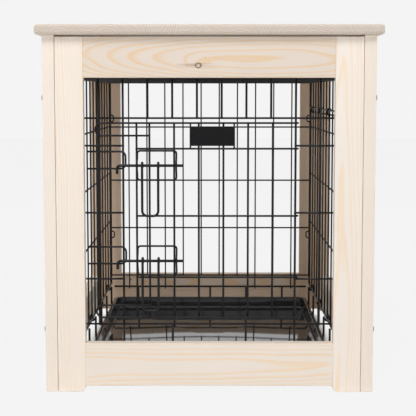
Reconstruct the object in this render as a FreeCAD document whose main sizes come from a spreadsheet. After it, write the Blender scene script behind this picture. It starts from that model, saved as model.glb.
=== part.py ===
import FreeCAD, Part
import math
import os
import re
import Sketcher
from FreeCAD import Placement, Rotation, Vector

# Dog crate end table: a two-part wire dog crate standing inside a bolted pine surround with a pine top.
# Axes: X to the right as seen from the doorway, Y from the doorway to the back, Z up.
# The origin is on the ground under the middle of the table. Lengths are in millimetres.

document = FreeCAD.newDocument("DogCrateEndTable")
sizes = document.addObject("Spreadsheet::Sheet", "Sizes")
places = document.addObject("App::VarSet", "Places")

DRIVING_SIZES = (
    # pine surround
    ("side_gap", 29.6, "inside of the surround to the crate's corner wires, each side"),
    ("rear_gap", 38.8, "inside of the surround's back frame to the crate's back wires"),
    ("head_gap", 74, "roof's cross wires to the underside of the top board"),
    ("timber", 22, "thickness of every frame board"),
    ("stile_width", 50, "width of the upright boards of the two end frames"),
    ("post_width", 50, "width of the upright boards of the side frames"),
    ("top_rail_height", 73, "height of the upper cross boards"),
    ("bottom_rail_height", 76, "height of the lower cross boards"),
    ("rail_lift", 13, "lower cross boards off the ground"),
    ("shadow_gap", 2, "end frames stop this far under the top board"),
    ("timber_easing", 1.5, "easing of the long edges of the frame boards"),
    ("foot_round", 10, "rounding of the inner foot corner of each stile"),
    ("board_thickness", 18, "top board"),
    ("board_overhang", 12.5, "top board past the surround on each side"),
    ("board_round", 5, "rounding of the top board's edges"),
    # furniture bolts through the side posts into the stiles
    ("bolt_low", 114, "height of the lower bolts"),
    ("bolt_high", 530, "height of the upper bolts"),
    ("bolt_thread", 6, "diameter of the bolt shank"),
    ("bolt_grip", 52, "length of the bolt under its head"),
    ("bolt_head", 10, "diameter of the low round head"),
    ("bolt_head_height", 2.5, "head proud of the post"),
    ("bore_clearance", 0.1, "bolt to its bore, on the radius"),
    # crate
    ("crate_width", 486.8, "between the corner wires' centres"),
    ("crate_length", 755, "front panel's wires to back panel's wires, centres"),
    ("crate_height", 566, "centre of the roof's cross wires"),
    ("crate_clearance", 0.3, "front panel to the back of the front frame"),
    ("front_spaces", 11, "spaces between upright wires across an end"),
    ("side_spaces", 12, "spaces between upright wires along a side"),
    ("front_wire", 3.8, "upright wires of the front panel"),
    ("rail_wire", 3.2, "cross wires of every panel"),
    ("side_wire", 3, "upright wires of the sides and the back"),
    ("base_wire", 4.5, "wires of the base basket"),
    ("end_rim", 64, "base basket's rim at the front and the back"),
    ("side_rim", 73, "base basket's rim along the sides"),
    ("side_low_rail", 225, "lower lengthwise wire of a side"),
    ("side_middle_rail", 344, "middle lengthwise wire of a side"),
    ("side_high_rail", 458, "upper lengthwise wire of a side"),
    ("roof_drop", 66, "roof edge turned down along the right side"),
    ("side_top_drop", 9, "right side's top wire under the roof's turned-down edge"),
    ("back_bottom_rail", 92, "back panel's lowest cross wire"),
    ("back_low_rail", 210, "back panel's second cross wire"),
    ("back_middle_rail", 327, "back panel's third cross wire"),
    ("back_high_rail", 457, "back panel's fourth cross wire"),
    ("door_sill", 119.5, "front panel's cross wire under the doorway"),
    ("door_head", 493.5, "front panel's cross wire over the doorway"),
    ("front_low_rail", 202.5, "lower cross wire beside the doorway"),
    ("front_middle_rail", 323, "middle cross wire beside the doorway"),
    ("front_high_rail", 444, "upper cross wire beside the doorway"),
    # tray
    ("tray_wall", 2.5, "thickness of the tray"),
    ("tray_depth", 31, "height of the tray"),
    ("tray_lip", 6, "width of the lip round the tray's rim"),
    ("tray_clearance", 2, "tray's lip to the base basket"),
    ("tray_round", 24, "corner radius of the tray"),
    # front door
    ("hinge_clearance", 0.3, "door's wires to the upright that they hook round"),
    ("door_wire", 3.5, "upright wires of the door"),
    ("door_side_gap", 24.39, "door's free upright to the jamb wire beside it"),
    ("door_first_wire", 41, "door's upright nearest its hinge, from the hinge"),
    ("door_uprights", 6, "door's upright wires besides the free edge"),
    ("door_bottom", 132.5, "door's lowest cross wire"),
    ("door_low_rail", 206.5, "door's second cross wire"),
    ("door_middle_rail", 318, "door's third cross wire"),
    ("door_high_rail", 439, "door's fourth cross wire"),
    ("door_top", 485, "door's highest cross wire"),
    ("tongue_past_jamb", 49.11, "corner tongues reach this far past the jamb wire"),
    ("tongue_height", 22.5, "between the two runs of a corner tongue"),
    ("tongue_inset", 48.89, "inner end of a corner tongue, from the jamb wire into the door"),
    # slide bolts
    ("latch_clearance", 0.3, "between the slide bolt's moving pieces"),
    ("upper_latch", 409, "height of the upper slide bolt"),
    ("lower_latch", 237, "height of the lower slide bolt"),
    ("slide_rod", 5, "diameter of a slide bolt's rod"),
    ("rod_past_jamb", 10.11, "rod's hooked end, past the jamb wire"),
    ("rod_length", 118, "rod, along the door"),
    ("rod_hook", 15, "hooked end, down from the rod"),
    ("rod_bend", 6, "bend radius of the rod's hooked end"),
    ("handle_wire", 4.5, "diameter of the pull handle"),
    ("handle_inset", 34.89, "handle's left leg, from the jamb wire into the door"),
    ("handle_width", 28.7, "between the handle's legs"),
    ("handle_length", 90, "handle, from the rod down"),
    ("handle_bend", 7, "bend radius at the bottom of the handle"),
    ("guard_wire", 3.5, "wire of the loop that carries the rod"),
    ("guard_inset", 25.89, "guard loop's left side, from the jamb wire into the door"),
    ("guard_width", 70, "guard loop across"),
    ("guard_above", 26.3, "guard loop above the rod"),
    ("guard_below", 26.3, "guard loop below the rod"),
    ("guard_bow", 7, "half height of the bow round the rod"),
    ("guard_ramp", 9, "height of the slope from the loop to its bow"),
    ("guard_bend", 7, "cut-off of the guard loop's corners"),
    ("keeper_inset", 4.89, "keeper's tip, from the jamb wire into the doorway"),
    ("keeper_root_gap", 25.4, "keeper's inner end to the crate's corner wire"),
    ("keeper_above", 25, "keeper's upper run above the rod"),
    ("keeper_below", 6, "keeper's lower run below the rod"),
    ("keeper_bend", 5, "cut-off of the keeper's corners"),
    # name plate
    ("plate_left", 32.2, "plate's left edge, left of the middle"),
    ("plate_width", 75.2, "plate across"),
    ("plate_height", 33, "plate, top to bottom"),
    ("plate_drop", 8, "plate's top under the door's highest cross wire"),
    ("plate_thickness", 1, "sheet of the plate"),
    ("hanger_wire", 3, "wires that carry the plate"),
    # clips and hinge loops
    ("clip_wire", 3.2, "wire of the corner clips and the hinge loops"),
    ("clip_high", 478, "height of the upper corner clips"),
    ("clip_low", 194, "height of the lower corner clips"),
    ("clip_height", 16, "corner clip, top to bottom"),
    ("clip_reach", 8, "corner clip, into the crate from the corner wires"),
    ("clip_bend", 3, "cut-off of the corner clip's corners"),
    ("clip_root", 2, "corner clip's ends past the corner wires"),
    ("loop_stem", 24, "hinge loop, along its side wire from the wire it turns on"),
    ("loop_step_start", 11, "hinge loop's sidestep starts this far from that wire"),
    ("loop_step_end", 6, "hinge loop's sidestep ends this far from that wire"),
    ("loop_tip", 2, "hinge loop's tip, past that wire's middle"),
)
for row, (alias, value, note) in enumerate(DRIVING_SIZES, 1):
    sizes.set(f"A{row}", note)
    sizes.set(f"B{row}", str(value))
    sizes.setAlias(f"B{row}", alias)
document.recompute()
aliases = {alias for alias, value, note in DRIVING_SIZES}


def formula(text):
    """Write each size or place named in the text the way an expression refers to it."""
    def full_name(word):
        name = word.group(0)
        if name in aliases:
            return "Sizes." + name
        return "Places." + name if name in places.PropertiesList else name
    return re.sub(r"[a-z]\w+", full_name, str(text))


def bind(item, **expressions):
    for name, text in expressions.items():
        item.setExpression(name.replace("_of_", "."), formula(text))


def put(item, x, y, z):
    """Bind where an item stands."""
    for axis, text in zip("xyz", (x, y, z)):
        item.setExpression("Placement.Base." + axis, formula(text))


def place(name, text):
    """A position that several pieces share, worked out from the sizes."""
    places.addProperty("App::PropertyFloat", name, "Places")
    places.setExpression(name, formula(text))
    document.recompute()


def mm(name):
    """The value of a size or of a shared position."""
    return float(sizes.get(name)) if name in aliases else float(getattr(places, name))


# ---------------------------------------------------------------- shared positions
place("frame_width", "crate_width + 2 * (side_gap + timber)")
place("frame_length", "2 * timber + crate_clearance + front_wire / 2 + crate_length + rear_gap")
place("frame_height", "crate_height + head_gap")
place("half_width", "frame_width / 2")
place("half_length", "frame_length / 2")
place("side_inner", "half_width - timber")                       # inner faces of the side frames
place("stile_inner", "side_inner - stile_width")                 # edges of the framed doorway
place("end_top", "frame_height - shadow_gap")                    # top of the two end frames
place("front_plane", "timber + crate_clearance + front_wire / 2 - half_length")
place("back_plane", "front_plane + crate_length")
place("corner", "crate_width / 2")
place("pitch", "crate_width / front_spaces")
place("side_pitch", "crate_length / side_spaces")
place("hinge", "corner - 2 * pitch")                             # upright that the door turns on
place("jamb", "corner - 2 * pitch")                              # upright at the latches, on the left
place("door_edge", "jamb - door_side_gap")
place("tongue_reach", "jamb + tongue_past_jamb")
place("tongue_return", "jamb - tongue_inset")
place("rod_reach", "jamb + rod_past_jamb")
place("handle_outer", "jamb - handle_inset")
place("guard_outer", "jamb - guard_inset")
place("keeper_tip", "jamb - keeper_inset")
place("keeper_root", "corner - keeper_root_gap")
place("front_rail_plane", "front_plane + (front_wire + rail_wire) / 2")
place("back_rail_plane", "back_plane - (side_wire + rail_wire) / 2")
place("side_rail_plane", "corner + (side_wire + rail_wire) / 2")
place("front_rim", "front_plane + (front_wire + base_wire) / 2")
place("back_rim", "back_plane - (side_wire + base_wire) / 2")
place("side_start", "front_rail_plane + (rail_wire + side_wire) / 2 + crate_clearance")
place("side_end", "back_rail_plane - (rail_wire + side_wire) / 2 - crate_clearance")
place("roof_edge", "crate_height + rail_wire")                   # lengthwise wires lie on the cross wires
place("roof_hinge", "roof_edge - roof_drop")
place("door_rail_plane", "front_plane - (front_wire + rail_wire) / 2 - hinge_clearance")
place("door_plane", "door_rail_plane + (rail_wire + door_wire) / 2")
place("rod_plane", "door_plane - (door_wire + slide_rod) / 2 - handle_wire - 2 * latch_clearance")
place("eye_radius", "(slide_rod + handle_wire) / 2 + latch_clearance")
place("guard_plane", "door_plane - (door_wire + guard_wire) / 2")
place("bow_plane", "rod_plane - (slide_rod + guard_wire) / 2 - latch_clearance")
place("keeper_plane", "front_plane - (front_wire + rail_wire) / 2")
place("hanger_plane", "door_rail_plane - (rail_wire + hanger_wire) / 2")
place("tray_floor", "2 * base_wire")
place("tray_half_width", "corner - 1.5 * base_wire - tray_clearance")
place("tray_front", "front_rim + 1.5 * base_wire + tray_clearance")
place("tray_back", "back_rim - 1.5 * base_wire - tray_clearance")

nodes = {}


def keep(label, item):
    """Name a finished sub-part."""
    item.Label = label
    nodes[label] = item
    return item


def group(label, items):
    """Several wires that are welded into one sub-part, or a set of like fasteners."""
    compound = document.addObject("Part::Compound", label + "_set")
    compound.Links = items
    return keep(label, compound)


# ---------------------------------------------------------------- bars and wires
SIDES = 8            # a grille wire is drawn with eight sides, their flats at its real diameter
ROUND_SIDES = 12     # a rod, a handle or a bolt is drawn with twelve
ALONG_X = Rotation(Vector(0, 1, 0), Vector(0, 0, 1), Vector(1, 0, 0), "ZXY")
ALONG_Y = Rotation(Vector(0, 0, 1), Vector(1, 0, 0), Vector(0, 1, 0), "ZXY")
ALONG_Z = Rotation()


def wire(name, along, diameter, length, x, y, z, sides=SIDES):
    """A straight bar that starts at the given point; sides=0 makes it round."""
    item = document.addObject("Part::Prism" if sides else "Part::Cylinder", name)
    if sides:
        item.Polygon = sides
        bind(item, Circumradius=f"({diameter}) / 2 / cos({180 / sides})", Height=length)
    else:
        bind(item, Radius=f"({diameter}) / 2", Height=length)
    turn = 180 / sides if sides else 0
    item.Placement = Placement(Vector(), along * Rotation(Vector(0, 0, 1), turn))
    put(item, x, y, z)
    return item


# ---------------------------------------------------------------- boards
def origin_plane(body, role):
    return next(item for item in body.Origin.OriginFeatures if item.Role == role)


def rectangle(body, name, across, deep):
    """A sketch of a board's section, its corner on the body's origin."""
    sketch = body.newObject("Sketcher::SketchObject", name)
    sketch.AttachmentSupport = [(origin_plane(body, "XY_Plane"), "")]
    sketch.MapMode = "FlatFace"
    corners = [Vector(0, 0, 0), Vector(40, 0, 0), Vector(40, 20, 0), Vector(0, 20, 0)]
    for first, second in zip(corners, corners[1:] + corners[:1]):
        sketch.addGeometry(Part.LineSegment(first, second))
    for line in range(4):
        sketch.addConstraint(Sketcher.Constraint("Coincident", line, 2, (line + 1) % 4, 1))
        sketch.addConstraint(Sketcher.Constraint(("Horizontal", "Vertical")[line % 2], line))
    sketch.addConstraint(Sketcher.Constraint("Coincident", 0, 1, -1, 1))
    sketch.addConstraint(Sketcher.Constraint("DistanceX", 0, 1, 0, 2, 40))
    sketch.renameConstraint(sketch.ConstraintCount - 1, "across")
    sketch.addConstraint(Sketcher.Constraint("DistanceY", 1, 1, 1, 2, 20))
    sketch.renameConstraint(sketch.ConstraintCount - 1, "deep")
    bind(sketch, Constraints_of_across=across, Constraints_of_deep=deep)
    return sketch


def board(name, along, across, deep, length, x, y, z, foot=None):
    """A sawn board with its four long edges eased; foot says which bottom edge is cut round."""
    body = document.addObject("PartDesign::Body", name + "_body")
    body.Placement = Placement(Vector(), along)
    put(body, x, y, z)
    pad = body.newObject("PartDesign::Pad", name + "_pad")
    pad.Profile = rectangle(body, name + "_section", across, deep)
    bind(pad, Length=length)
    document.recompute()
    if foot is not None:
        inner = foot * mm(across)
        edges = [f"Edge{number}" for number, edge in enumerate(pad.Shape.Edges, 1)
                 if abs(edge.CenterOfMass.z) < 0.01 and abs(edge.CenterOfMass.x - inner) < 0.01]
        pad, square = body.newObject("PartDesign::Fillet", name + "_foot"), pad
        pad.Base = (square, edges)
        bind(pad, Radius="foot_round")
        document.recompute()
    long_edges = [f"Edge{number}" for number, edge in enumerate(pad.Shape.Edges, 1)
                  if abs(edge.Vertexes[0].Z - edge.Vertexes[-1].Z) > mm("timber")]
    eased = body.newObject("PartDesign::Chamfer", name + "_eased")
    eased.Base = (pad, long_edges)
    bind(eased, Size="timber_easing")
    document.recompute()
    return body


def bolt_bores(name, timber, x, y, length):
    """Two bores along X through a board, one for each of the surround's bolts there."""
    tools = [wire(f"{name}_{height}_bore", ALONG_X, "bolt_thread + 2 * bore_clearance", length,
                  x, y, height, ROUND_SIDES) for height in ("bolt_low", "bolt_high")]
    pair = document.addObject("Part::Compound", name + "_bores")
    pair.Links = tools
    drilled = document.addObject("Part::Cut", name + "_drilled")
    drilled.Base, drilled.Tool = timber, pair
    return drilled


def stile(label, side, end):
    """An upright board of an end frame; its inner foot corner is rounded off."""
    x = "0 - side_inner" if side < 0 else "stile_inner"
    y = "0 - half_length" if end < 0 else "half_length - timber"
    body = board(label, ALONG_Z, "stile_width", "timber", "end_top", x, y, "0",
                 foot=1 if side < 0 else 0)
    grip = "bolt_grip - timber + bore_clearance"
    start = "0 - side_inner" if side < 0 else f"side_inner - ({grip})"
    keep(label, bolt_bores(label, body, start, f"{y} + timber / 2", grip))


def top_board():
    """The table top, its upper and lower edges rounded over."""
    slab = document.addObject("Part::Box", "top_slab")
    bind(slab, Length="frame_width + 2 * board_overhang", Width="frame_length + 2 * board_overhang",
         Height="board_thickness")
    put(slab, "0 - half_width - board_overhang", "0 - half_length - board_overhang", "frame_height")
    document.recompute()
    top = document.addObject("Part::Fillet", "top_rounded")
    top.Base = slab
    top.Edges = [(number, mm("board_round"), mm("board_round"))
                 for number, edge in enumerate(slab.Shape.Edges, 1)
                 if abs(edge.Vertexes[0].Z - edge.Vertexes[-1].Z) < 0.01]
    keep("top_board", top)


def surround():
    for end, front in ((-1, "front"), (1, "back")):
        y = "0 - half_length" if end < 0 else "half_length - timber"
        for side, left in ((-1, "left"), (1, "right")):
            stile(f"{front}_{left}_stile", side, end)
        keep(f"{front}_top_rail", board(
            f"{front}_top_rail", ALONG_X, "timber", "top_rail_height", "2 * stile_inner",
            "0 - stile_inner", y, "end_top - top_rail_height"))
        keep(f"{front}_bottom_rail", board(
            f"{front}_bottom_rail", ALONG_X, "timber", "bottom_rail_height", "2 * stile_inner",
            "0 - stile_inner", y, "rail_lift"))
    for side, left in ((-1, "left"), (1, "right")):
        x = "0 - half_width" if side < 0 else "side_inner"
        for end, front in ((-1, "front"), (1, "rear")):
            y = "0 - half_length" if end < 0 else "half_length - post_width"
            middle = "timber / 2 - half_length" if end < 0 else "half_length - timber / 2"
            post = board(f"{left}_{front}_post", ALONG_Z, "timber", "post_width", "frame_height",
                         x, y, "0")
            keep(f"{left}_{front}_post",
                 bolt_bores(f"{left}_{front}_post", post, x, middle, "timber"))
        for rail, height, z in (("top_rail", "top_rail_height", "frame_height - top_rail_height"),
                                ("bottom_rail", "bottom_rail_height", "rail_lift")):
            keep(f"{left}_{rail}", board(
                f"{left}_{rail}", ALONG_Y, height, "timber", "frame_length - 2 * post_width",
                x, "post_width - half_length", z))


def frame_bolts():
    """Eight bolts with low round heads, two at each corner of the surround."""
    bolts = []
    for side in (-1, 1):
        for end in (-1, 1):
            for height in ("bolt_low", "bolt_high"):
                name = f"bolt_{side + 1}{end + 1}_{height}"
                y = "timber / 2 - half_length" if end < 0 else "half_length - timber / 2"
                head = wire(name + "_head", ALONG_X, "bolt_head", "bolt_head_height",
                            "0 - half_width - bolt_head_height" if side < 0 else "half_width",
                            y, height, ROUND_SIDES)
                shank = wire(name + "_shank", ALONG_X, "bolt_thread", "bolt_grip",
                             "0 - half_width" if side < 0 else "half_width - bolt_grip",
                             y, height, ROUND_SIDES)
                bolt = document.addObject("Part::Fuse", name)
                bolt.Base, bolt.Tool = head, shank
                bolts.append(bolt)
    group("frame_bolts", bolts)


# ---------------------------------------------------------------- wires
def mitre(ring, point, run, normal):
    """Slide a wire's outline along its run to the plane through the point."""
    return [corner + run * ((point - corner).dot(normal) / run.dot(normal)) for corner in ring]


def bent_wire(name, points, diameter, sides=SIDES, closed=False):
    """A wire along straight runs with mitred bends, as one closed solid."""
    points = [Vector(*point) for point in points]
    ends = points[1:] + points[:1] if closed else points[1:]
    runs = [(end - start).normalize() for start, end in zip(points, ends)]
    across = runs[0].cross(Vector(0, 0, 1) if abs(runs[0].z) < 0.9 else Vector(1, 0, 0)).normalize()
    up = runs[0].cross(across)
    reach = diameter / 2 / math.cos(math.pi / sides)
    turns = [(2 * step + 1) * math.pi / sides for step in range(sides)]
    ring = [points[0] + across * (reach * math.cos(turn)) + up * (reach * math.sin(turn))
            for turn in turns]
    if closed:
        ring = mitre(ring, points[0], runs[0], (runs[-1] + runs[0]).normalize())
    rings = [ring]
    for number, point in enumerate(ends, 1):
        after = runs[number % len(runs)] if closed or number < len(runs) else runs[-1]
        rings.append(mitre(rings[-1], point, runs[number - 1],
                           (runs[number - 1] + after).normalize()))
    if closed:
        rings[-1] = rings[0]
    faces = [Part.Face(Part.makePolygon([first[a], first[b], second[b], second[a], first[a]]))
             for first, second in zip(rings, rings[1:])
             for a, b in ((k, (k + 1) % sides) for k in range(sides))]
    if not closed:
        faces += [Part.Face(Part.makePolygon(end + end[:1])) for end in (rings[0], rings[-1])]
    solid = Part.makeSolid(Part.makeShell(faces))
    if solid.Volume < 0:
        solid.reverse()
    item = document.addObject("Part::Feature", name)
    item.Shape = solid
    item.Placement = Placement()
    return item


def arc(centre, radius, start, end, steps):
    """Bend points of an arc in a plane, just outside it, so that the runs touch the arc."""
    step = math.radians(end - start) / steps
    outer = radius / math.cos(step / 2)
    return [(centre[0] + outer * math.cos(turn), centre[1] + outer * math.sin(turn))
            for turn in (math.radians(start) + step * (k + 0.5) for k in range(steps))]


def front_panel():
    """The wire panel round the doorway, its cross wires behind its uprights."""
    spaces = int(mm("front_spaces"))
    wires = []
    for number in range(spaces + 1):
        beside_doorway = number <= 2 or number >= spaces - 2
        foot = "door_sill" if beside_doorway else "door_head"
        wires.append(wire(f"front_upright_{number}", ALONG_Z, "front_wire",
                          f"crate_height - {foot}", f"{number} * pitch - corner", "front_plane",
                          f"{foot} - rail_wire / 2", 0 if number == spaces - 2 else SIDES))
    for height in ("door_sill", "door_head"):
        wires.append(wire(f"front_{height}", ALONG_X, "rail_wire", "crate_width + front_wire",
                          "0 - corner - front_wire / 2", "front_rail_plane", height))
    for height in ("front_low_rail", "front_middle_rail", "front_high_rail"):
        for side, start in (("left", "0 - corner - front_wire / 2"), ("right", "hinge - front_wire / 2")):
            wires.append(wire(f"{height}_{side}", ALONG_X, "rail_wire", "2 * pitch + front_wire",
                              start, "front_rail_plane", height))
    group("front_panel", wires)


def back_panel():
    wires = []
    for number in range(int(mm("front_spaces")) + 1):
        wires.append(wire(f"back_upright_{number}", ALONG_Z, "side_wire",
                          "crate_height - back_bottom_rail", f"{number} * pitch - corner",
                          "back_plane", "back_bottom_rail - rail_wire / 2"))
    for height in ("back_bottom_rail", "back_low_rail", "back_middle_rail", "back_high_rail"):
        wires.append(wire(f"back_{height}", ALONG_X, "rail_wire", "crate_width + side_wire",
                          "0 - corner - side_wire / 2", "back_rail_plane", height))
    group("back_panel", wires)


def side_places():
    """Where the upright wires of a side stand along the crate."""
    spaces = int(mm("side_spaces"))
    return (["side_start"] + [f"front_plane + {number + 0.5} * side_pitch" for number in range(spaces)]
            + ["side_end"])


def side_panel(label, side):
    """A side panel; the right one ends at the roof's turned-down edge."""
    x, rail_x = ("0 - corner", "0 - side_rail_plane") if side < 0 else ("corner", "side_rail_plane")
    top = "roof_edge" if side < 0 else "roof_hinge"
    wires = [wire(f"{label}_upright_{number}", ALONG_Z, "side_wire",
                  f"{top} - rail_wire / 2 - side_rim - base_wire / 2", x, y,
                  "side_rim + base_wire / 2")
             for number, y in enumerate(side_places())]
    heights = ["side_low_rail", "side_middle_rail", "side_high_rail"]
    if side > 0:
        heights.append("roof_hinge - side_top_drop")
    for number, height in enumerate(heights):
        wires.append(wire(f"{label}_rail_{number}", ALONG_Y, "rail_wire",
                          "side_end - side_start + side_wire", rail_x,
                          "side_start - side_wire / 2", height))
    group(label, wires)


def crate_roof():
    """The roof, with its right edge turned down to the top of the right side panel."""
    wires = []
    for number in range(int(mm("side_spaces")) + 1):
        wires.append(wire(f"roof_cross_{number}", ALONG_X, "rail_wire", "crate_width + side_wire",
                          "0 - corner - side_wire / 2", f"front_plane + {number} * side_pitch",
                          "crate_height"))
    for name, x in (("left", "0 - corner"), ("middle_left", "0 - 1.5 * pitch"),
                    ("middle_right", "1.5 * pitch"), ("right", "corner")):
        wires.append(wire(f"roof_{name}", ALONG_Y, "rail_wire", "crate_length + side_wire", x,
                          "front_plane - side_wire / 2", "roof_edge"))
    wires.append(wire("roof_turned_edge", ALONG_Y, "rail_wire",
                      "side_end - side_start + side_wire", "corner",
                      "side_start - side_wire / 2", "roof_hinge"))
    for number, y in enumerate(side_places()):
        wires.append(wire(f"roof_drop_{number}", ALONG_Z, "side_wire", "roof_drop - rail_wire",
                          "corner", y, "roof_hinge + rail_wire / 2"))
    group("crate_roof", wires)


def crate_base():
    """A shallow basket: two layers of floor wires, uprights round them and a rim."""
    wires = []
    for end, rim, inward in (("front", "front_rim", "+"), ("back", "back_rim", "-")):
        wires.append(wire(f"{end}_rim_wire", ALONG_X, "base_wire", "crate_width - 3 * base_wire",
                          "1.5 * base_wire - corner", rim, "end_rim"))
        for step in (-4, -2, 0, 2, 4):
            wires.append(wire(f"{end}_rim_upright_{step + 4}", ALONG_Z, "base_wire",
                              "end_rim + base_wire / 2", f"{step} * pitch",
                              f"{rim} {inward} base_wire", "0"))
    for step in (-4, -2, 0, 2, 4):
        wires.append(wire(f"floor_long_{step + 4}", ALONG_Y, "base_wire",
                          "back_rim - front_rim - 3 * base_wire", f"{step} * pitch",
                          "front_rim + 1.5 * base_wire", "base_wire / 2"))
    for side in (-1, 1):
        wires.append(wire(f"side_rim_{side + 1}", ALONG_Y, "base_wire", "back_rim - front_rim",
                          "0 - corner" if side < 0 else "corner", "front_rim", "side_rim"))
    for number in range(int(mm("side_spaces")) // 2):
        y = f"front_plane + {2 * number + 1} * side_pitch"
        wires.append(wire(f"floor_cross_{number}", ALONG_X, "base_wire",
                          "crate_width - 3 * base_wire", "1.5 * base_wire - corner", y,
                          "1.5 * base_wire"))
        for side in (-1, 1):
            wires.append(wire(f"floor_upright_{number}_{side + 1}", ALONG_Z, "base_wire",
                              "side_rim - base_wire / 2",
                              "base_wire - corner" if side < 0 else "corner - base_wire", y,
                              "base_wire"))
    group("crate_base", wires)


def base_hooks():
    """Panel legs that hook under the basket's rim: four in front, four at the back."""
    spaces = int(mm("front_spaces"))
    rim = mm("end_rim")
    hooks = []
    for number in (2, 4, spaces - 4, spaces - 2):
        x = number * mm("pitch") - mm("corner")
        out, reach = mm("front_plane"), (mm("front_wire") + mm("base_wire")) / 2
        at_upright = number in (2, spaces - 2)
        top = mm("door_sill") + (-1 if at_upright else 1) * mm("rail_wire") / 2
        hooks.append(bent_wire(f"front_hook_{number}", [
            (x, out, top), (x, out, rim - reach), (x, out + 2 * reach, rim - reach),
            (x, out + 2 * reach, rim)], mm("front_wire")))
    for number in (1, 3, spaces - 3, spaces - 1):
        x = number * mm("pitch") - mm("corner")
        out, reach = mm("back_plane"), (mm("side_wire") + mm("base_wire")) / 2
        hooks.append(bent_wire(f"back_hook_{number}", [
            (x, out, mm("back_bottom_rail") - mm("rail_wire") / 2), (x, out, rim - reach),
            (x, out - 2 * reach, rim - reach), (x, out - 2 * reach, rim)], mm("side_wire")))
    group("base_hooks", hooks)


def hinge_loop(name, side, y, height, carrier, up):
    """A wire loop fixed beside a side panel's upright, round a lengthwise wire next to its end."""
    x, reach = side * mm("corner"), (carrier + mm("clip_wire")) / 2
    out, back = x + up * side * reach, x - up * side * reach
    return bent_wire(name, [
        (x, y, height + up * mm("loop_stem")), (x, y, height + up * mm("loop_step_start")),
        (out, y, height + up * mm("loop_step_end")),
        (out, y, height - up * reach), (back, y, height - up * reach),
        (back, y, height + up * mm("loop_tip"))], mm("clip_wire"))


def hinge_loops():
    """Loops that join the side panels to the basket's rim and to the roof's turned-down edge."""
    spaces = int(mm("side_spaces"))
    beside = (mm("side_wire") + mm("clip_wire")) / 2
    loops = []
    for number in (1, spaces // 2 - 2, spaces // 2 + 1, spaces - 2):
        y = mm("front_plane") + (number + 0.5) * mm("side_pitch") + beside
        for side in (-1, 1):
            loops.append(hinge_loop(f"rim_loop_{number}_{side + 1}", side, y, mm("side_rim"),
                                    mm("base_wire"), 1))
        loops.append(hinge_loop(f"roof_loop_{number}", 1, y, mm("roof_hinge"), mm("rail_wire"), -1))
    group("hinge_loops", loops)


def corner_clips():
    """C-shaped catches on the last uprights of the side panels."""
    clips = []
    half, bend = mm("clip_height") / 2, mm("clip_bend")
    reach = (mm("side_wire") + mm("clip_wire")) / 2
    for side in (-1, 1):
        for name, y in (("front", mm("side_start") + reach), ("back", mm("side_end") - reach)):
            for height in ("clip_high", "clip_low"):
                x, z = side * mm("corner"), mm(height)
                root, tip = x + side * mm("clip_root"), x - side * mm("clip_reach")
                clips.append(bent_wire(f"clip_{name}_{side + 1}_{height}", [
                    (root, y, z + half), (tip + side * bend, y, z + half),
                    (tip, y, z + half - bend), (tip, y, z - half + bend),
                    (tip + side * bend, y, z - half), (root, y, z - half)], mm("clip_wire")))
    group("corner_clips", clips)


def tray():
    """A shallow pan with rounded corners and a flat lip, lying on the floor wires."""
    width, front, back = mm("tray_half_width"), mm("tray_front"), mm("tray_back")
    lip, wall, floor = mm("tray_lip"), mm("tray_wall"), mm("tray_floor")
    top = floor + mm("tray_depth")

    def block(inset, low, high, radius):
        box = Part.makeBox(2 * (width - inset), back - front - 2 * inset, high - low,
                           Vector(inset - width, front + inset, low))
        return box.makeFillet(radius, [edge for edge in box.Edges
                                       if abs(edge.Vertexes[0].Z - edge.Vertexes[-1].Z) > 0.1])
    outside = block(lip, floor, top, mm("tray_round") - lip)
    rim = block(0, top - wall, top, mm("tray_round"))
    inside = block(lip + wall, floor + wall, top + 1, mm("tray_round") - lip - wall)
    pan = document.addObject("Part::Feature", "tray_pan")
    pan.Shape = outside.fuse(rim).cut(inside).removeSplitter()
    pan.Placement = Placement()
    keep("tray", pan)


def door():
    """The front door: uprights, cross wires hooked round the hinge upright, two corner tongues."""
    wires = [wire("door_free_upright", ALONG_Z, "door_wire", "door_top - door_bottom + rail_wire",
                  "0 - door_edge", "door_plane", "door_bottom - rail_wire / 2")]
    for number in range(int(mm("door_uprights"))):
        wires.append(wire(f"door_upright_{number}", ALONG_Z, "door_wire",
                          "door_top - door_bottom + rail_wire",
                          f"hinge - door_first_wire - {number} * pitch", "door_plane",
                          "door_bottom - rail_wire / 2"))
    pivot, reach = mm("hinge"), mm("front_plane") - mm("door_rail_plane")
    hook = arc((pivot, mm("front_plane")), reach, -90, 90, 4)
    hook.append((pivot - reach * 0.4, mm("front_plane") + reach))
    plane, free = mm("door_rail_plane"), -mm("door_edge") - mm("door_wire") / 2
    for height in ("door_low_rail", "door_middle_rail", "door_high_rail"):
        z = mm(height)
        wires.append(bent_wire(height + "_wire", [(free, plane, z)] + [(x, y, z) for x, y in hook],
                               mm("rail_wire")))
    round_end = mm("tongue_height") / 2
    for height, inward in (("door_bottom", 1), ("door_top", -1)):
        z = mm(height)
        turn = arc((round_end - mm("tongue_reach"), z + inward * round_end), round_end,
                   180 - 90 * inward, 180 + 90 * inward, 4)
        tongue = [(-mm("tongue_return"), plane, z + 2 * inward * round_end)]
        tongue += [(x, plane, height_there) for x, height_there in turn]
        wires.append(bent_wire(height + "_tongue", tongue + [(x, y, z) for x, y in hook],
                               mm("rail_wire")))
    group("front_door", wires)


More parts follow.
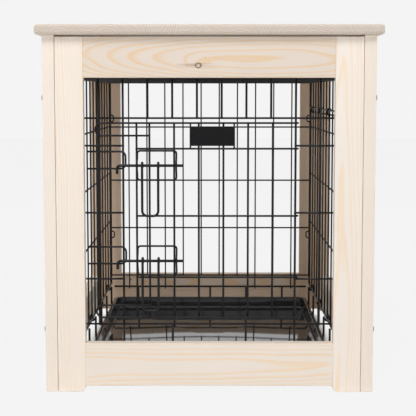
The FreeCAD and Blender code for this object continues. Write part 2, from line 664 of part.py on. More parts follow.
def latch(which):
    """A slide bolt: its guard loop and keeper, the rod and the pull handle hung on the rod."""
    z = mm(which + "_latch")
    left, right = -mm("guard_outer"), mm("guard_width") - mm("guard_outer")
    top, low = z + mm("guard_above"), z - mm("guard_below")
    flat, bow, cut = mm("guard_plane"), mm("bow_plane"), mm("guard_bend")
    rise = ((mm("guard_bow") + mm("guard_ramp"), flat), (mm("guard_bow"), bow))
    drop = [(up, y) for up, y in rise] + [(-up, y) for up, y in reversed(rise)]
    loop = [(left + cut, flat, top), (right - cut, flat, top), (right, flat, top - cut)]
    loop += [(right, y, z + up) for up, y in drop]
    loop += [(right, flat, low + cut), (right - cut, flat, low), (left + cut, flat, low),
             (left, flat, low + cut)]
    loop += [(left, y, z + up) for up, y in reversed(drop)]
    loop += [(left, flat, top - cut)]
    keep(which + "_guard", bent_wire(which + "_guard_loop", loop, mm("guard_wire"), closed=True))

    tip, root, behind = -mm("keeper_tip"), -mm("keeper_root"), mm("keeper_plane")
    high, under, corner = z + mm("keeper_above"), z - mm("keeper_below"), mm("keeper_bend")
    keep(which + "_keeper", bent_wire(which + "_keeper_loop", [
        (root, behind, high), (tip - corner, behind, high), (tip, behind, high - corner),
        (tip, behind, under + corner), (tip - corner, behind, under), (root, behind, under)],
        mm("rail_wire")))

    y, end, bend = mm("rod_plane"), -mm("rod_reach"), mm("rod_bend")
    elbow = arc((end + bend, z - bend), bend, 90, 180, 3)
    keep(which + "_bolt", bent_wire(
        which + "_rod",
        [(end + mm("rod_length"), y, z)] + [(x, y, up) for x, up in elbow]
        + [(end, y, z - mm("rod_hook"))], mm("slide_rod"), ROUND_SIDES))

    reach, bend, foot = mm("eye_radius"), mm("handle_bend"), z - mm("handle_length")
    outer, inner = -mm("handle_outer"), mm("handle_width") - mm("handle_outer")
    eye = arc((y, z), reach, -30, 180, 7)
    eye = [(y + reach * math.cos(math.radians(-30)), z - reach / 2)] + eye
    hang = y - reach
    path = [(outer, depth, height) for depth, height in eye]
    path += [(x, hang, height) for x, height in arc((outer + bend, foot + bend), bend, 180, 270, 3)]
    path += [(x, hang, height) for x, height in arc((inner - bend, foot + bend), bend, 270, 360, 3)]
    path += [(inner, depth, height) for depth, height in reversed(eye)]
    keep(which + "_handle", bent_wire(which + "_pull", path, mm("handle_wire"), ROUND_SIDES))


def name_plate():
    """A bare sheet between two hanger wires."""
    plate = document.addObject("Part::Box", "plate_sheet")
    bind(plate, Length="plate_width", Width="plate_thickness", Height="plate_height")
    put(plate, "0 - plate_left", "hanger_plane - plate_thickness / 2",
        "door_top - plate_drop - plate_height")
    keep("name_plate", plate)
    group("plate_hangers", [
        wire("plate_hanger_" + name, ALONG_Z, "hanger_wire", "door_top - door_high_rail + rail_wire",
             x, "hanger_plane", "door_high_rail - rail_wire / 2")
        for name, x in (("left", "0 - plate_left - hanger_wire / 2"),
                        ("right", "plate_width - plate_left + hanger_wire / 2"))])


top_board()
surround()
frame_bolts()
crate_base()
tray()
base_hooks()
front_panel()
back_panel()
side_panel("left_panel", -1)
side_panel("right_panel", 1)
crate_roof()
hinge_loops()
corner_clips()
door()
latch("upper")
latch("lower")
name_plate()
document.recompute()

for item in document.Objects:
    if "Invalid" in item.State or "Error" in item.State:
        raise RuntimeError(f"{item.Name} did not compute: {item.State}")
for label, item in nodes.items():
    if item.Shape.isNull() or not item.Shape.isValid():
        raise RuntimeError(f"{label} has no valid shape")

os.makedirs("parts", exist_ok=True)
for label, item in nodes.items():
    item.Shape.exportStep(f"parts/{label}.step")
whole = Part.makeCompound([item.Shape for item in nodes.values()]).BoundBox
print(f"{len(nodes)} sub-parts, {whole.XLength:.1f} x {whole.YLength:.1f} x {whole.ZLength:.1f} mm")
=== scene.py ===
"""Dog crate end table: the pine surround, the wire crate inside it and a plain studio."""

import math
from collections import namedtuple

import bpy
import numpy as np
from bpy.props import FloatProperty, FloatVectorProperty, IntProperty, PointerProperty
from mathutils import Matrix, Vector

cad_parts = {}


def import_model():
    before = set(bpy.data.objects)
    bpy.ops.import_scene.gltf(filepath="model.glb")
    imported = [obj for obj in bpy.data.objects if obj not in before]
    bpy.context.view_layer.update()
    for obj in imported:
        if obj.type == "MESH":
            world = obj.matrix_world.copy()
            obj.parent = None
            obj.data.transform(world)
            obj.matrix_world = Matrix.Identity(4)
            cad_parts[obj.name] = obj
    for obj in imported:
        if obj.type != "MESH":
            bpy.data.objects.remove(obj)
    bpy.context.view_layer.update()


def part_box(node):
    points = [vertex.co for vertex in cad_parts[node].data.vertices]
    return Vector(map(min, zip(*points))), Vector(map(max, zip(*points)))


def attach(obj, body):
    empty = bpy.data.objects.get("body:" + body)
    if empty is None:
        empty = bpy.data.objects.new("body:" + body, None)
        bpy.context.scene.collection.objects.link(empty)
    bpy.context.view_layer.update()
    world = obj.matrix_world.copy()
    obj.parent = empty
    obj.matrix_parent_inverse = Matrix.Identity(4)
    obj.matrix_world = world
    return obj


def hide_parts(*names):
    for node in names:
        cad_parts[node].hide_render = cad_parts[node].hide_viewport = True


bl_info = {
    "name": "Dog Crate End Table",
    "version": (1, 0, 0),
    "blender": (4, 5, 0),
    "location": "View3D > Sidebar > Crate Table",
    "description": "Builds a pine end table round a two-part wire dog crate",
    "category": "Object",
}

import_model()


def low(node):
    return np.array(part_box(node)[0])


def high(node):
    return np.array(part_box(node)[1])


def middle(node):
    return (low(node) + high(node)) / 2


# ---------------------------------------------------------------- sizes and colours
def length(name, value, text):
    return FloatProperty(name=name, description=text, default=value, unit="LENGTH", precision=4)


def colour(name, value, text):
    return FloatVectorProperty(name=name, description=text, default=value, subtype="COLOR",
                               size=3, min=0, max=1)


class PineSettings(bpy.types.PropertyGroup):
    edge_round: length("Board edge", 0.0012, "Rounding of the frame boards' edges")
    top_round: length("Top edge", 0.0055, "Rounding of the top board's edges")
    foot_round: length("Foot corner", 0.010, "Rounding of the inner foot corner of a stile")
    ring_width: length("Year ring", 0.003, "Mean distance between year rings")
    stave_width: length("Stave", 0.048, "Width of the staves that the top is glued from")
    early: colour("Early wood", (0.90, 0.815, 0.735), "Pale wood between the year lines")
    late: colour("Late wood", (0.92, 0.715, 0.49), "Honey-coloured wood of the year lines")
    streak: colour("Streak", (0.36, 0.16, 0.07), "Brown wood beside a knot")
    knot: colour("Knot", (0.10, 0.06, 0.045), "Bark-brown rim of a knot")


class WireSettings(bpy.types.PropertyGroup):
    front: length("Front upright", 0.0040, "Upright wires of the front panel")
    rail: length("Cross wire", 0.0035, "Cross wires of every panel")
    side: length("Side upright", 0.0032, "Upright wires of the sides and the back")
    base: length("Base wire", 0.0045, "Wires of the base basket")
    door: length("Door upright", 0.0037, "Upright wires of the door")
    rod: length("Bolt rod", 0.005, "Rod of a slide bolt")
    handle: length("Pull handle", 0.0045, "Wire of a pull handle")
    guard: length("Guard loop", 0.0035, "Wire of the loop that carries the rod")
    hanger: length("Plate hanger", 0.003, "Wires beside the name plate")
    clip: length("Clip", 0.0032, "Corner clips and hinge loops")
    door_edge: length("Door edge", 0.1305, "Door's free upright, left of the middle")
    end_spaces: IntProperty(name="End spaces", description="Spaces across an end panel", default=11)
    side_spaces: IntProperty(name="Side spaces", description="Spaces along a side", default=12)
    coat: colour("Powder coat", (0.006, 0.006, 0.007), "Black powder coat of the wire")


class RailSettings(bpy.types.PropertyGroup):
    sill: length("Door sill", 0.1195, "Cross wire under the doorway")
    head: length("Door head", 0.4935, "Cross wire over the doorway")
    front_low: length("Front low", 0.2025, "Lower cross wire beside the doorway")
    front_middle: length("Front middle", 0.323, "Middle cross wire beside the doorway")
    front_high: length("Front high", 0.444, "Upper cross wire beside the doorway")
    back_low: length("Back low", 0.210, "Back panel's second cross wire")
    back_middle: length("Back middle", 0.327, "Back panel's third cross wire")
    back_high: length("Back high", 0.457, "Back panel's highest cross wire")
    side_low: length("Side low", 0.225, "Lower lengthwise wire of a side")
    side_middle: length("Side middle", 0.344, "Middle lengthwise wire of a side")
    side_high: length("Side high", 0.458, "Upper lengthwise wire of a side")
    top_drop: length("Top drop", 0.009, "Right side's top wire under the roof's turned-down edge")
    door_low: length("Door low", 0.2065, "Door's second cross wire")
    door_middle: length("Door middle", 0.318, "Door's third cross wire")
    door_high: length("Door high", 0.439, "Door's fourth cross wire")
    end_rim: length("End rim", 0.064, "Base basket's rim at the front and the back")
    side_rim: length("Side rim", 0.073, "Base basket's rim along the sides")


class TraySettings(bpy.types.PropertyGroup):
    wall: length("Wall", 0.0025, "Thickness of the tray")
    lip: length("Lip", 0.006, "Width of the lip")
    corner: length("Corner", 0.024, "Corner radius of the lip")
    crown: length("Crown", 0.0035, "Rise of the floor's middle")
    gloss: colour("Gloss black", (0.024, 0.024, 0.028), "Colour of the tray")


class StudioSettings(bpy.types.PropertyGroup):
    backdrop: colour("Backdrop", (0.905, 0.905, 0.905), "Colour of the floor and the backdrop")
    key: FloatProperty(name="Key light", description="Power of the key light", default=66.0,
                       unit="POWER")
    fill: FloatProperty(name="Fill", description="Strength of the light all round", default=0.17)
    front: FloatProperty(name="Front light", description="Power of the low light from the front",
                         default=23.0, unit="POWER")
    around: FloatProperty(name="Side light", default=24.0, unit="POWER",
                          description="Power of each lamp beside and behind the table")
    shade: FloatProperty(name="Floor shade", default=0.02, min=0, max=1,
                         description="How much of the floor's own shade shows beside the table; "
                         "under it all shows")
    lens_pixels: FloatProperty(name="Lens", description="Focal length in pixels of a 416 px frame",
                               default=1156.0)
    distance: length("Distance", 2.05, "Camera in front of the surround")
    height: length("Height", 0.5346, "Camera above the floor")
    aside: length("Aside", 0.006, "Camera right of the middle")
    pitch: FloatProperty(name="Pitch", description="Camera looks down", default=math.radians(5.58),
                         subtype="ANGLE")
    yaw: FloatProperty(name="Yaw", description="Camera looks left", default=math.radians(0.23),
                       subtype="ANGLE")


# ---------------------------------------------------------------- meshes
def unit(vector):
    return vector / np.linalg.norm(vector, axis=-1, keepdims=True)


def grid_faces(rows, columns, start=0, ring=False):
    """Four-sided faces of a grid of points whose columns close on themselves; ring also closes its
    rows."""
    row = np.arange(rows if ring else rows - 1)[:, None]
    column = np.arange(columns)[None, :]
    after, beside = (row + 1) % rows, (column + 1) % columns
    faces = np.stack([row * columns + column, row * columns + beside,
                      after * columns + beside, after * columns + column], axis=-1)
    return (faces.reshape(-1, 4) + start).tolist()


def capped(rows, columns, start=0):
    """The faces of a grid whose first and last rows are each closed by a flat end."""
    first = list(range(start, start + columns))
    last = [(rows - 1) * columns + corner for corner in first]
    return grid_faces(rows, columns, start) + [first[::-1], last]


def mesh_object(name, points, faces, smooth=True):
    mesh = bpy.data.meshes.new(name)
    mesh.from_pydata(points.tolist(), [], faces)
    mesh.polygons.foreach_set("use_smooth", [smooth] * len(mesh.polygons))
    mesh.update()
    item = bpy.data.objects.new(name, mesh)
    bpy.context.collection.objects.link(item)
    return item


def dress(item, material, slot, body, *nodes):
    """Give a piece its finish and let it stand for the solids of the same name."""
    item.data.materials.append(material)
    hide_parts(*nodes)
    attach(item, body)
    return item


def board_points(lowest, highest, along, rounding, foot=0, foot_side=0, arc_steps=5, stations=0):
    """A board's surface on a grid. Across the grain its outline is a rectangle with quarter-round
    corners; along the grain the outline shrinks by r (1 - sin t) over the last r (1 - cos t) of
    each end, which rounds the ends over too. foot lets one side give way by a quarter circle at the
    low end. stations are the rows between the two ends.
    """
    wide, deep = [axis for axis in range(3) if axis != along]
    turn = np.linspace(0, np.pi / 2, arc_steps)
    end_run, end_inset = rounding * (1 - np.cos(turn)), rounding * (1 - np.sin(turn))
    start = end_run
    if foot:
        bow = np.linspace(0, np.pi / 2, 9)[1:]
        start = np.unique(np.concatenate([end_run, foot * (1 - np.cos(bow))]))
    first, last = lowest[along] + start[-1], highest[along] - end_run[-1]
    between = np.linspace(first, last, stations + 2)[1:-1]
    run = np.concatenate([lowest[along] + start, between, highest[along] - end_run[::-1]])
    inset = np.concatenate([np.interp(start, end_run, end_inset), 0 * between, end_inset[::-1]])
    give = np.zeros_like(run)
    if foot:
        rise = np.clip(1 - start / foot, 0, 1)
        give[:len(start)] = foot * (1 - np.sqrt(1 - rise ** 2))
    low_wide = lowest[wide] + inset + (give if foot_side < 0 else 0)
    high_wide = highest[wide] - inset - (give if foot_side > 0 else 0)
    low_deep, high_deep = lowest[deep] + inset, highest[deep] - inset
    radius = np.maximum(rounding - inset, 1e-5)[:, None]
    corner = np.linspace(0, np.pi / 2, arc_steps)
    angle = np.concatenate([corner + quarter * np.pi / 2 for quarter in range(4)])[None, :]
    right = np.repeat([1, 0, 0, 1], arc_steps)[None, :]
    far = np.repeat([1, 1, 0, 0], arc_steps)[None, :]
    points = np.zeros((len(run), angle.size, 3))
    points[..., along] = run[:, None]
    points[..., wide] = (np.where(right, high_wide[:, None] - radius, low_wide[:, None] + radius)
                         + radius * np.cos(angle))
    points[..., deep] = (np.where(far, high_deep[:, None] - radius, low_deep[:, None] + radius)
                         + radius * np.sin(angle))
    return points


# Where a board lay in its log: the axis across its face, how far the pith lies beside the middle
# and leans along the grain, how deep it lies with its tilt and bow, and the place along the log.
Cut = namedtuple("Cut", "face beside lean behind tilt bow offset")
# One face of a board drawn inwards by a size, or outwards by a negative one; side is -1 or 1.
Trim = namedtuple("Trim", "axis side size")


def board(node, along, material, rounding, cut, foot=0, foot_side=0, tone_and_shade=1.0, figure=1.0,
          painted_warm_shade=0.0, trim=None):
    """One board in place of its solid, with the place of each point in the log it was sawn from:
    u along the grain, v across the face and w away from the pith. The pith runs askew and bowed, so
    v = across + beside + lean u and w = depth + behind + tilt u + bow u^2. The three attributes are
    the board's lightness, which holds painted shade on the boards that lie in shade, how strongly
    its year lines show, and a painted warm shade on the boards inside the surround.
    """
    lowest, highest = low(node), high(node)
    if trim:
        (lowest if trim.side < 0 else highest)[trim.axis] -= trim.side * trim.size
    points = board_points(lowest, highest, along, rounding, foot, foot_side, stations=24)
    faces = capped(*points.shape[:2])
    if along == 1:
        faces = [face[::-1] for face in faces]
    points = points.reshape(-1, 3)
    item = mesh_object("pine_" + node, points, faces, smooth=False)
    shift = points - (lowest + highest) / 2
    u, across, depth = shift[:, along], shift[:, cut.face], shift[:, 3 - along - cut.face]
    log = np.stack([u + cut.offset, across + cut.beside + cut.lean * u,
                    depth + cut.behind + cut.tilt * u + cut.bow * u ** 2], axis=-1)
    place = item.data.attributes.new("log", "FLOAT_VECTOR", "POINT")
    place.data.foreach_set("vector", log.astype(np.float32).ravel())
    # The board's lightness holds painted shade on the shaded boards, and its warm tint is painted
    # warm shade.
    for label, value in (("tone_and_shade", tone_and_shade), ("figure", figure), ("painted_warm_shade", painted_warm_shade)):
        shade = item.data.attributes.new(label, "FLOAT", "POINT")
        shade.data.foreach_set("value", np.full(len(points), value, np.float32))
    return dress(item, material, "pine", "table", node)


def rounded(points, bend, steps=5):
    """A route of straight runs with each corner replaced by an arc of the bend radius, or less
    where the runs are short: the arc leaves each run at r tan(a / 2) from the corner, a being the
    turn, and takes at most the given part of it."""
    part, least_turn = 0.48, 1e-3
    points = np.asarray(points, float)
    route = [points[:1]]
    for before, corner, after in zip(points, points[1:], points[2:]):
        into, out = unit(corner - before), unit(after - corner)
        turn = math.acos(float(np.clip(into @ out, -1, 1)))
        if turn < least_turn:
            route.append(corner[None])
            continue
        room = part * min(np.linalg.norm(corner - before), np.linalg.norm(after - corner))
        radius = min(bend, room / math.tan(turn / 2))
        start = corner - into * radius * math.tan(turn / 2)
        side = unit(out - into * (into @ out))
        swing = np.linspace(0, turn, steps)[:, None]
        route.append(start + radius * (np.sin(swing) * into + (1 - np.cos(swing)) * side))
    route.append(points[-1:])
    return np.concatenate(route)


def wire_points(route, diameter, sides=12, closed=False):
    """A round wire: at each station of the route a circle stands square to the run, turned as
    little as possible from the one before. Over the last quarter of the radius, the cut ends shrink
    to three quarters of the wire's size and close in a small disc."""
    end_size, rim_size, upright = 0.02, 0.38, 0.9
    route = np.asarray(route, float)
    if closed:
        after, before = np.roll(route, -1, axis=0), np.roll(route, 1, axis=0)
        run = unit(unit(after - route) + unit(route - before))
    else:
        step = unit(np.diff(route, axis=0))
        run = unit(np.concatenate([step[:1], step[1:] + step[:-1], step[-1:]]))
    aside = unit(np.cross(run[0], (0.0, 0.0, 1.0) if abs(run[0][2]) < upright else (1.0, 0.0, 0.0)))
    asides = []
    for direction in run:
        aside = unit(aside - direction * (aside @ direction))
        asides.append(aside)
    asides = np.array(asides)
    ups = np.cross(run, asides)
    size = np.full(len(route), diameter / 2)
    if not closed:
        ease = diameter / 8
        route = np.concatenate([route[:1], route[:1], route[:1] + run[:1] * ease, route[1:-1],
                                route[-1:] - run[-1:] * ease, route[-1:], route[-1:]])
        pad = [0, 0, 0] + list(range(1, len(run) - 1)) + [-1, -1, -1]
        asides, ups = asides[pad], ups[pad]
        size = np.full(len(route), diameter / 2)
        size[[0, -1]] = diameter * end_size
        size[[1, -2]] = diameter * rim_size
    angle = np.arange(sides) * 2 * np.pi / sides
    circle = (np.cos(angle)[None, :, None] * asides[:, None]
              + np.sin(angle)[None, :, None] * ups[:, None])
    return route[:, None] + circle * size[:, None, None]


def wirework(name, wires, material, body, *nodes, slot="black_wire", sides=12):
    """One piece of welded wires, each (route, diameter), or (route, diameter, True) for a ring."""
    points, faces, count = [], [], 0
    for route, diameter, *ring in wires:
        grid = wire_points(route, diameter, sides, closed=bool(ring))
        rows = len(grid)
        points.append(grid.reshape(-1, 3))
        faces += grid_faces(rows, sides, count, True) if ring else capped(rows, sides, count)
        count += rows * sides
    return dress(mesh_object(name, np.concatenate(points), faces), material, slot, body, *nodes)


def straight(diameter, start, end):
    """A straight wire between two points."""
    return [start, end], diameter


# ---------------------------------------------------------------- where the crate's wires lie
class Crate:
    """Planes and heights of the crate, read from the frame's solids and the wires' diameters."""

    def __init__(self, wire):
        front, back, left = "front_panel", "back_panel", "left_panel"
        self.corner = high(front)[0] - wire.front / 2
        self.pitch = 2 * self.corner / wire.end_spaces
        self.hinge = self.corner - 2 * self.pitch
        self.front = low(front)[1] + wire.front / 2
        self.front_rail = high(front)[1] - wire.rail / 2
        self.back = high(back)[1] - wire.side / 2
        self.back_rail = low(back)[1] + wire.rail / 2
        self.start = low(left)[1] + wire.side / 2
        self.end = high(left)[1] - wire.side / 2
        self.side_rail = -low(left)[0] - wire.rail / 2
        self.top = high(front)[2]
        self.back_foot = low(back)[2] + wire.rail / 2
        self.turned_edge = low("crate_roof")[2] + wire.rail / 2
        self.edge = high("crate_roof")[2] - wire.rail / 2
        self.side_pitch = (self.back - self.front) / wire.side_spaces
        self.front_rim = low("crate_base")[1] + wire.base / 2
        self.back_rim = high("crate_base")[1] - wire.base / 2
        clearance = 0.0003
        self.door_rail = self.front - (wire.front + wire.rail) / 2 - clearance
        self.door = self.door_rail + (wire.door + wire.rail) / 2
        self.door_low = low("front_door")[2] + wire.rail / 2
        self.door_high = high("front_door")[2] - wire.rail / 2
        self.door_free = -wire.door_edge

    def end_places(self, wire):
        return -self.corner + self.pitch * np.arange(wire.end_spaces + 1)

    def side_places(self, wire):
        between = self.front + self.side_pitch * (np.arange(wire.side_spaces) + 0.5)
        return np.concatenate([[self.start], between, [self.end]])


def front_panel(wire, rails, crate, coat):
    """Three uprights on each side of the doorway reach down to its sill, the others to its head."""
    places, wires = crate.end_places(wire), []
    for number, x in enumerate(places):
        beside = number <= 2 or number >= len(places) - 3
        bottom = (rails.sill if beside else rails.head) - wire.rail / 2
        wires.append(straight(wire.front, (x, crate.front, bottom), (x, crate.front, crate.top)))
    y, reach = crate.front_rail, crate.corner + wire.front / 2
    for z in (rails.sill, rails.head):
        wires.append(straight(wire.rail, (-reach, y, z), (reach, y, z)))
    inner = crate.hinge - wire.front / 2
    for z in (rails.front_low, rails.front_middle, rails.front_high):
        for side in (-1, 1):
            wires.append(straight(wire.rail, (side * inner, y, z), (side * reach, y, z)))
    return wirework("wire_front_panel", wires, coat, "table", "front_panel")


def back_panel(wire, rails, crate, coat):
    """Uprights over the whole width, with four cross wires on their inner side."""
    y, reach = crate.back, crate.corner + wire.side / 2
    wires = [straight(wire.side, (x, y, crate.back_foot - wire.rail / 2), (x, y, crate.top))
             for x in crate.end_places(wire)]
    for z in (crate.back_foot, rails.back_low, rails.back_middle, rails.back_high):
        wires.append(straight(wire.rail, (-reach, crate.back_rail, z), (reach, crate.back_rail, z)))
    return wirework("wire_back_panel", wires, coat, "table", "back_panel")


def side_panel(name, side, wire, rails, crate, coat):
    """The right side ends at the roof's turned-down edge, the left one at the roof itself."""
    x, rail_x = side * crate.corner, side * crate.side_rail
    top = (crate.edge if side < 0 else crate.turned_edge) - wire.rail / 2
    foot = rails.side_rim + wire.base / 2
    wires = [straight(wire.side, (x, y, foot), (x, y, top)) for y in crate.side_places(wire)]
    start, end = crate.start - wire.side / 2, crate.end + wire.side / 2
    heights = [rails.side_low, rails.side_middle, rails.side_high]
    if side > 0:
        heights.append(crate.turned_edge - rails.top_drop)
    for z in heights:
        wires.append(straight(wire.rail, (rail_x, start, z), (rail_x, end, z)))
    return wirework("wire_" + name, wires, coat, "table", name)


def crate_roof(wire, crate, coat):
    """Cross wires under four lengthwise ones, and the turned-down edge on the right, which hangs on
    short wires."""
    wires, inner_wires = [], 1.5
    reach = crate.corner + wire.side / 2
    start, end = crate.front - wire.side / 2, crate.back + wire.side / 2
    for y in np.linspace(crate.front, crate.back, wire.side_spaces + 1):
        wires.append(straight(wire.rail, (-reach, y, crate.top), (reach, y, crate.top)))
    for x in (-crate.corner, -inner_wires * crate.pitch, inner_wires * crate.pitch, crate.corner):
        wires.append(straight(wire.rail, (x, start, crate.edge), (x, end, crate.edge)))
    x, z = crate.corner, crate.turned_edge
    wires.append(straight(wire.rail, (x, crate.start - wire.side / 2, z),
                          (x, crate.end + wire.side / 2, z)))
    for y in crate.side_places(wire):
        wires.append(straight(wire.side, (x, y, z), (x, y, crate.edge)))
    return wirework("wire_roof", wires, coat, "table", "crate_roof")


def crate_base(wire, rails, crate, coat):
    """Floor wires in two layers that turn up into the rim all round."""
    size, wires, bend = wire.base, [], 0.012
    floor, upper = size / 2, 1.5 * size
    ends = crate.corner - 1.5 * size
    for x in crate.pitch * np.array([-4, -2, 0, 2, 4]):
        front, back = crate.front_rim + size, crate.back_rim - size
        wires.append((rounded([(x, front, rails.end_rim), (x, front, floor), (x, back, floor),
                               (x, back, rails.end_rim)], bend), size))
    for y in (crate.front_rim, crate.back_rim):
        wires.append(straight(size, (-ends, y, rails.end_rim), (ends, y, rails.end_rim)))
    side = crate.corner - size
    for number in range(wire.side_spaces // 2):
        y = crate.front + (2 * number + 1) * crate.side_pitch
        wires.append((rounded([(-side, y, rails.side_rim), (-side, y, upper), (side, y, upper),
                               (side, y, rails.side_rim)], bend), size))
    for x in (-crate.corner, crate.corner):
        wires.append(straight(size, (x, crate.front_rim, rails.side_rim),
                              (x, crate.back_rim, rails.side_rim)))
    return wirework("wire_base", wires, coat, "table", "crate_base")


def base_hooks(wire, rails, crate, coat):
    """Panel legs that hook under the rim of the base: four in front, four at the back."""
    wires, places, tight = [], crate.end_places(wire), 0.9
    front = ((2, 4, 7, 9), crate.front, wire.front, rails.sill, 1)
    back = ((1, 3, 8, 10), crate.back, wire.side, crate.back_foot, -1)
    for numbers, y, size, top, inward in (front, back):
        reach = (size + wire.base) / 2
        for x in places[list(numbers)]:
            route = [(x, y, top), (x, y, rails.end_rim - reach),
                     (x, y + inward * 2 * reach, rails.end_rim - reach),
                     (x, y + inward * 2 * reach, rails.end_rim)]
            wires.append((rounded(route, reach * tight), size))
    return wirework("wire_base_hooks", wires, coat, "table", "base_hooks")


def hinge_loops(wire, rails, crate, coat):
    """Loops beside the side uprights, round the rim below and round the roof's turned edge."""
    wires = []
    beside = (wire.side + wire.clip) / 2
    leg, neck, shoulder, tip = 0.024, 0.011, 0.006, 0.002

    def loop(side, y, z, carrier, up):
        x, reach = side * crate.corner, (carrier + wire.clip) / 2
        out, back = x + up * side * reach, x - up * side * reach
        wires.append((rounded([(x, y, z + up * leg), (x, y, z + up * neck),
                               (out, y, z + up * shoulder), (out, y, z - up * reach),
                               (back, y, z - up * reach), (back, y, z + up * tip)],
                              reach), wire.clip))
    for number in (1, 4, 7, 10):
        y = crate.front + (number + 0.5) * crate.side_pitch + beside
        loop(-1, y, rails.side_rim, wire.base, 1)
        loop(1, y, rails.side_rim, wire.base, 1)
        loop(1, y, crate.turned_edge, wire.rail, -1)
    return wirework("wire_hinge_loops", wires, coat, "table", "hinge_loops")


def corner_clips(wire, crate, coat):
    """C-shaped catches welded to the last uprights of the sides, near the top and near the base."""
    wires = []
    half, depth, outer, bend = 0.008, 0.008, 0.002, 0.005
    reach = (wire.side + wire.clip) / 2
    lowest, highest = low("corner_clips")[2], high("corner_clips")[2]
    heights = (lowest + half + wire.clip / 2, highest - half - wire.clip / 2)
    for side in (-1, 1):
        root = side * (crate.corner + outer)
        tip = side * (crate.corner - depth)
        for y in (crate.start + reach, crate.end - reach):
            for z in heights:
                wires.append((rounded([(root, y, z + half), (tip, y, z + half), (tip, y, z - half),
                                       (root, y, z - half)], bend), wire.clip))
    return wirework("wire_corner_clips", wires, coat, "table", "corner_clips")


def hinge_hook(crate):
    """The end of a door cross wire: a little over half a turn round the hinge upright."""
    reach = crate.front - crate.door_rail
    turn = np.radians(np.linspace(-90, 110, 10))
    return crate.hinge + reach * np.cos(turn), crate.front + reach * np.sin(turn)


def front_door(wire, rails, crate, coat):
    """Uprights behind the cross wires; top and bottom wires turn back inside as flat tongues."""
    y, wires, from_hinge = crate.door, [], 0.041
    places = [crate.hinge - from_hinge - crate.pitch * number for number in range(6)]
    places.insert(0, crate.door_free)
    for x in places:
        wires.append(straight(wire.door, (x, y, crate.door_low - wire.rail / 2),
                              (x, y, crate.door_high + wire.rail / 2)))
    hook = np.column_stack(hinge_hook(crate))
    free, plane = crate.door_free - wire.door / 2, crate.door_rail

    def cross(start, z):
        path = np.column_stack([hook, np.full(len(hook), z)])
        return np.concatenate([start, path]), wire.rail
    for z in (rails.door_low, rails.door_middle, rails.door_high):
        wires.append(cross([(free, plane, z)], z))
    # A tongue's tip and inner end, both left of the middle, and half its height.
    reach, back, half = 0.204, 0.106, 0.01125
    turn = np.radians(np.linspace(90, -90, 11))
    for z, up in ((crate.door_low, 1), (crate.door_high, -1)):
        tongue = np.column_stack([-(reach - half) - half * np.cos(turn),
                                  np.full(len(turn), plane), z + up * half * (1 + np.sin(turn))])
        wires.append(cross(np.concatenate([[(-back, plane, z + up * 2 * half)], tongue]), z))
    return wirework("wire_door", wires, coat, "front_door", "front_door")


def latch_height(which, wire):
    """The rod's height: the elbow's top is the rod's own top."""
    return high(which + "_bolt")[2] - wire.rod / 2


def guard(which, wire, coat):
    """A closed wire loop, flat on the door, whose two sides bow out round the rod."""
    name = which + "_guard"
    half = wire.guard / 2
    left, right = low(name)[0] + half, high(name)[0] - half
    under, over = low(name)[2] + half, high(name)[2] - half
    flat, bow = high(name)[1] - half, low(name)[1] + half
    # The sides leave the door's plane at the wide distance from the rod, and bow out at the narrow.
    z, wide, narrow, bend = latch_height(which, wire), 0.016, 0.007, 0.008
    rise = [(-wide, flat), (-narrow, bow), (narrow, bow), (wide, flat)]
    ring = [(left, flat, over), (right, flat, over)] + [(right, y, z - up) for up, y in rise]
    ring += [(right, flat, under), (left, flat, under)] + [(left, y, z + up) for up, y in rise]
    closed = rounded([ring[-1]] + ring + [ring[0]], bend)[1:-1]
    return wirework("wire_" + name, [(closed, wire.guard, True)], coat, "front_door", name)


def keeper(which, wire, coat):
    """A narrow loop welded to the front panel. At rest the rod's bent end lies in front of it."""
    name, bend = which + "_keeper", 0.009
    half = wire.rail / 2
    root, tip = low(name)[0], high(name)[0] - half
    under, over = low(name)[2] + half, high(name)[2] - half
    y = middle(name)[1]
    route = rounded([(root, y, over), (tip, y, over), (tip, y, under), (root, y, under)], bend)
    return wirework("wire_" + name, [(route, wire.rail)], coat, "table", name)


def bolt(which, wire, coat):
    """A straight rod whose free end is bent down."""
    name, half, bend = which + "_bolt", wire.rod / 2, 0.006
    y = middle(name)[1]
    left, right = low(name)[0] + half, high(name)[0]
    top, foot = high(name)[2] - half, low(name)[2]
    route = rounded([(right, y, top), (left, y, top), (left, y, foot)], bend, 7)
    return wirework("wire_" + name, [(route, wire.rod)], coat, name, name, sides=20)


def pull_handle(which, wire, coat):
    """A wire stirrup: both ends curl round the rod, and the legs hang down and join in a straight
    grip."""
    name, half = which + "_handle", wire.handle / 2
    left, right = low(name)[0] + half, high(name)[0] - half
    foot = low(name)[2] + half
    rod, clearance, bend = middle(which + "_bolt")[1], 0.0003, 0.009
    z = latch_height(which, wire)
    reach = (wire.rod + wire.handle) / 2 + clearance
    turn = np.radians(np.linspace(-60, 180, 15))
    eye = [(rod + reach * math.cos(t), z + reach * math.sin(t)) for t in turn]
    legs = rounded([(left, rod - reach, z), (left, rod - reach, foot), (right, rod - reach, foot),
                    (right, rod - reach, z)], bend, 8)
    start = [(left, y, up) for y, up in eye]
    route = np.concatenate([start, legs[1:-1], [(right, y, up) for _, y, up in start[::-1]]])
    return wirework("wire_" + name, [(route, wire.handle)], coat, name, name, sides=16)


def plate_hangers(wire, coat):
    """Two upright wires beside the plate."""
    name, half = "plate_hangers", wire.hanger / 2
    y = middle(name)[1]
    wires = [straight(wire.hanger, (x, y, low(name)[2]), (x, y, high(name)[2]))
             for x in (low(name)[0] + half, high(name)[0] - half)]
    return wirework("wire_" + name, wires, coat, "front_door", name)


def name_plate(material):
    """A bare sheet with softened edges."""
    points = board_points(low("name_plate"), high("name_plate"), 0, 0.0003, arc_steps=3)
    item = mesh_object("name_plate_sheet", points.reshape(-1, 3), capped(*points.shape[:2]),
                       smooth=False)
    return dress(item, material, "black_plate", "front_door", "name_plate")


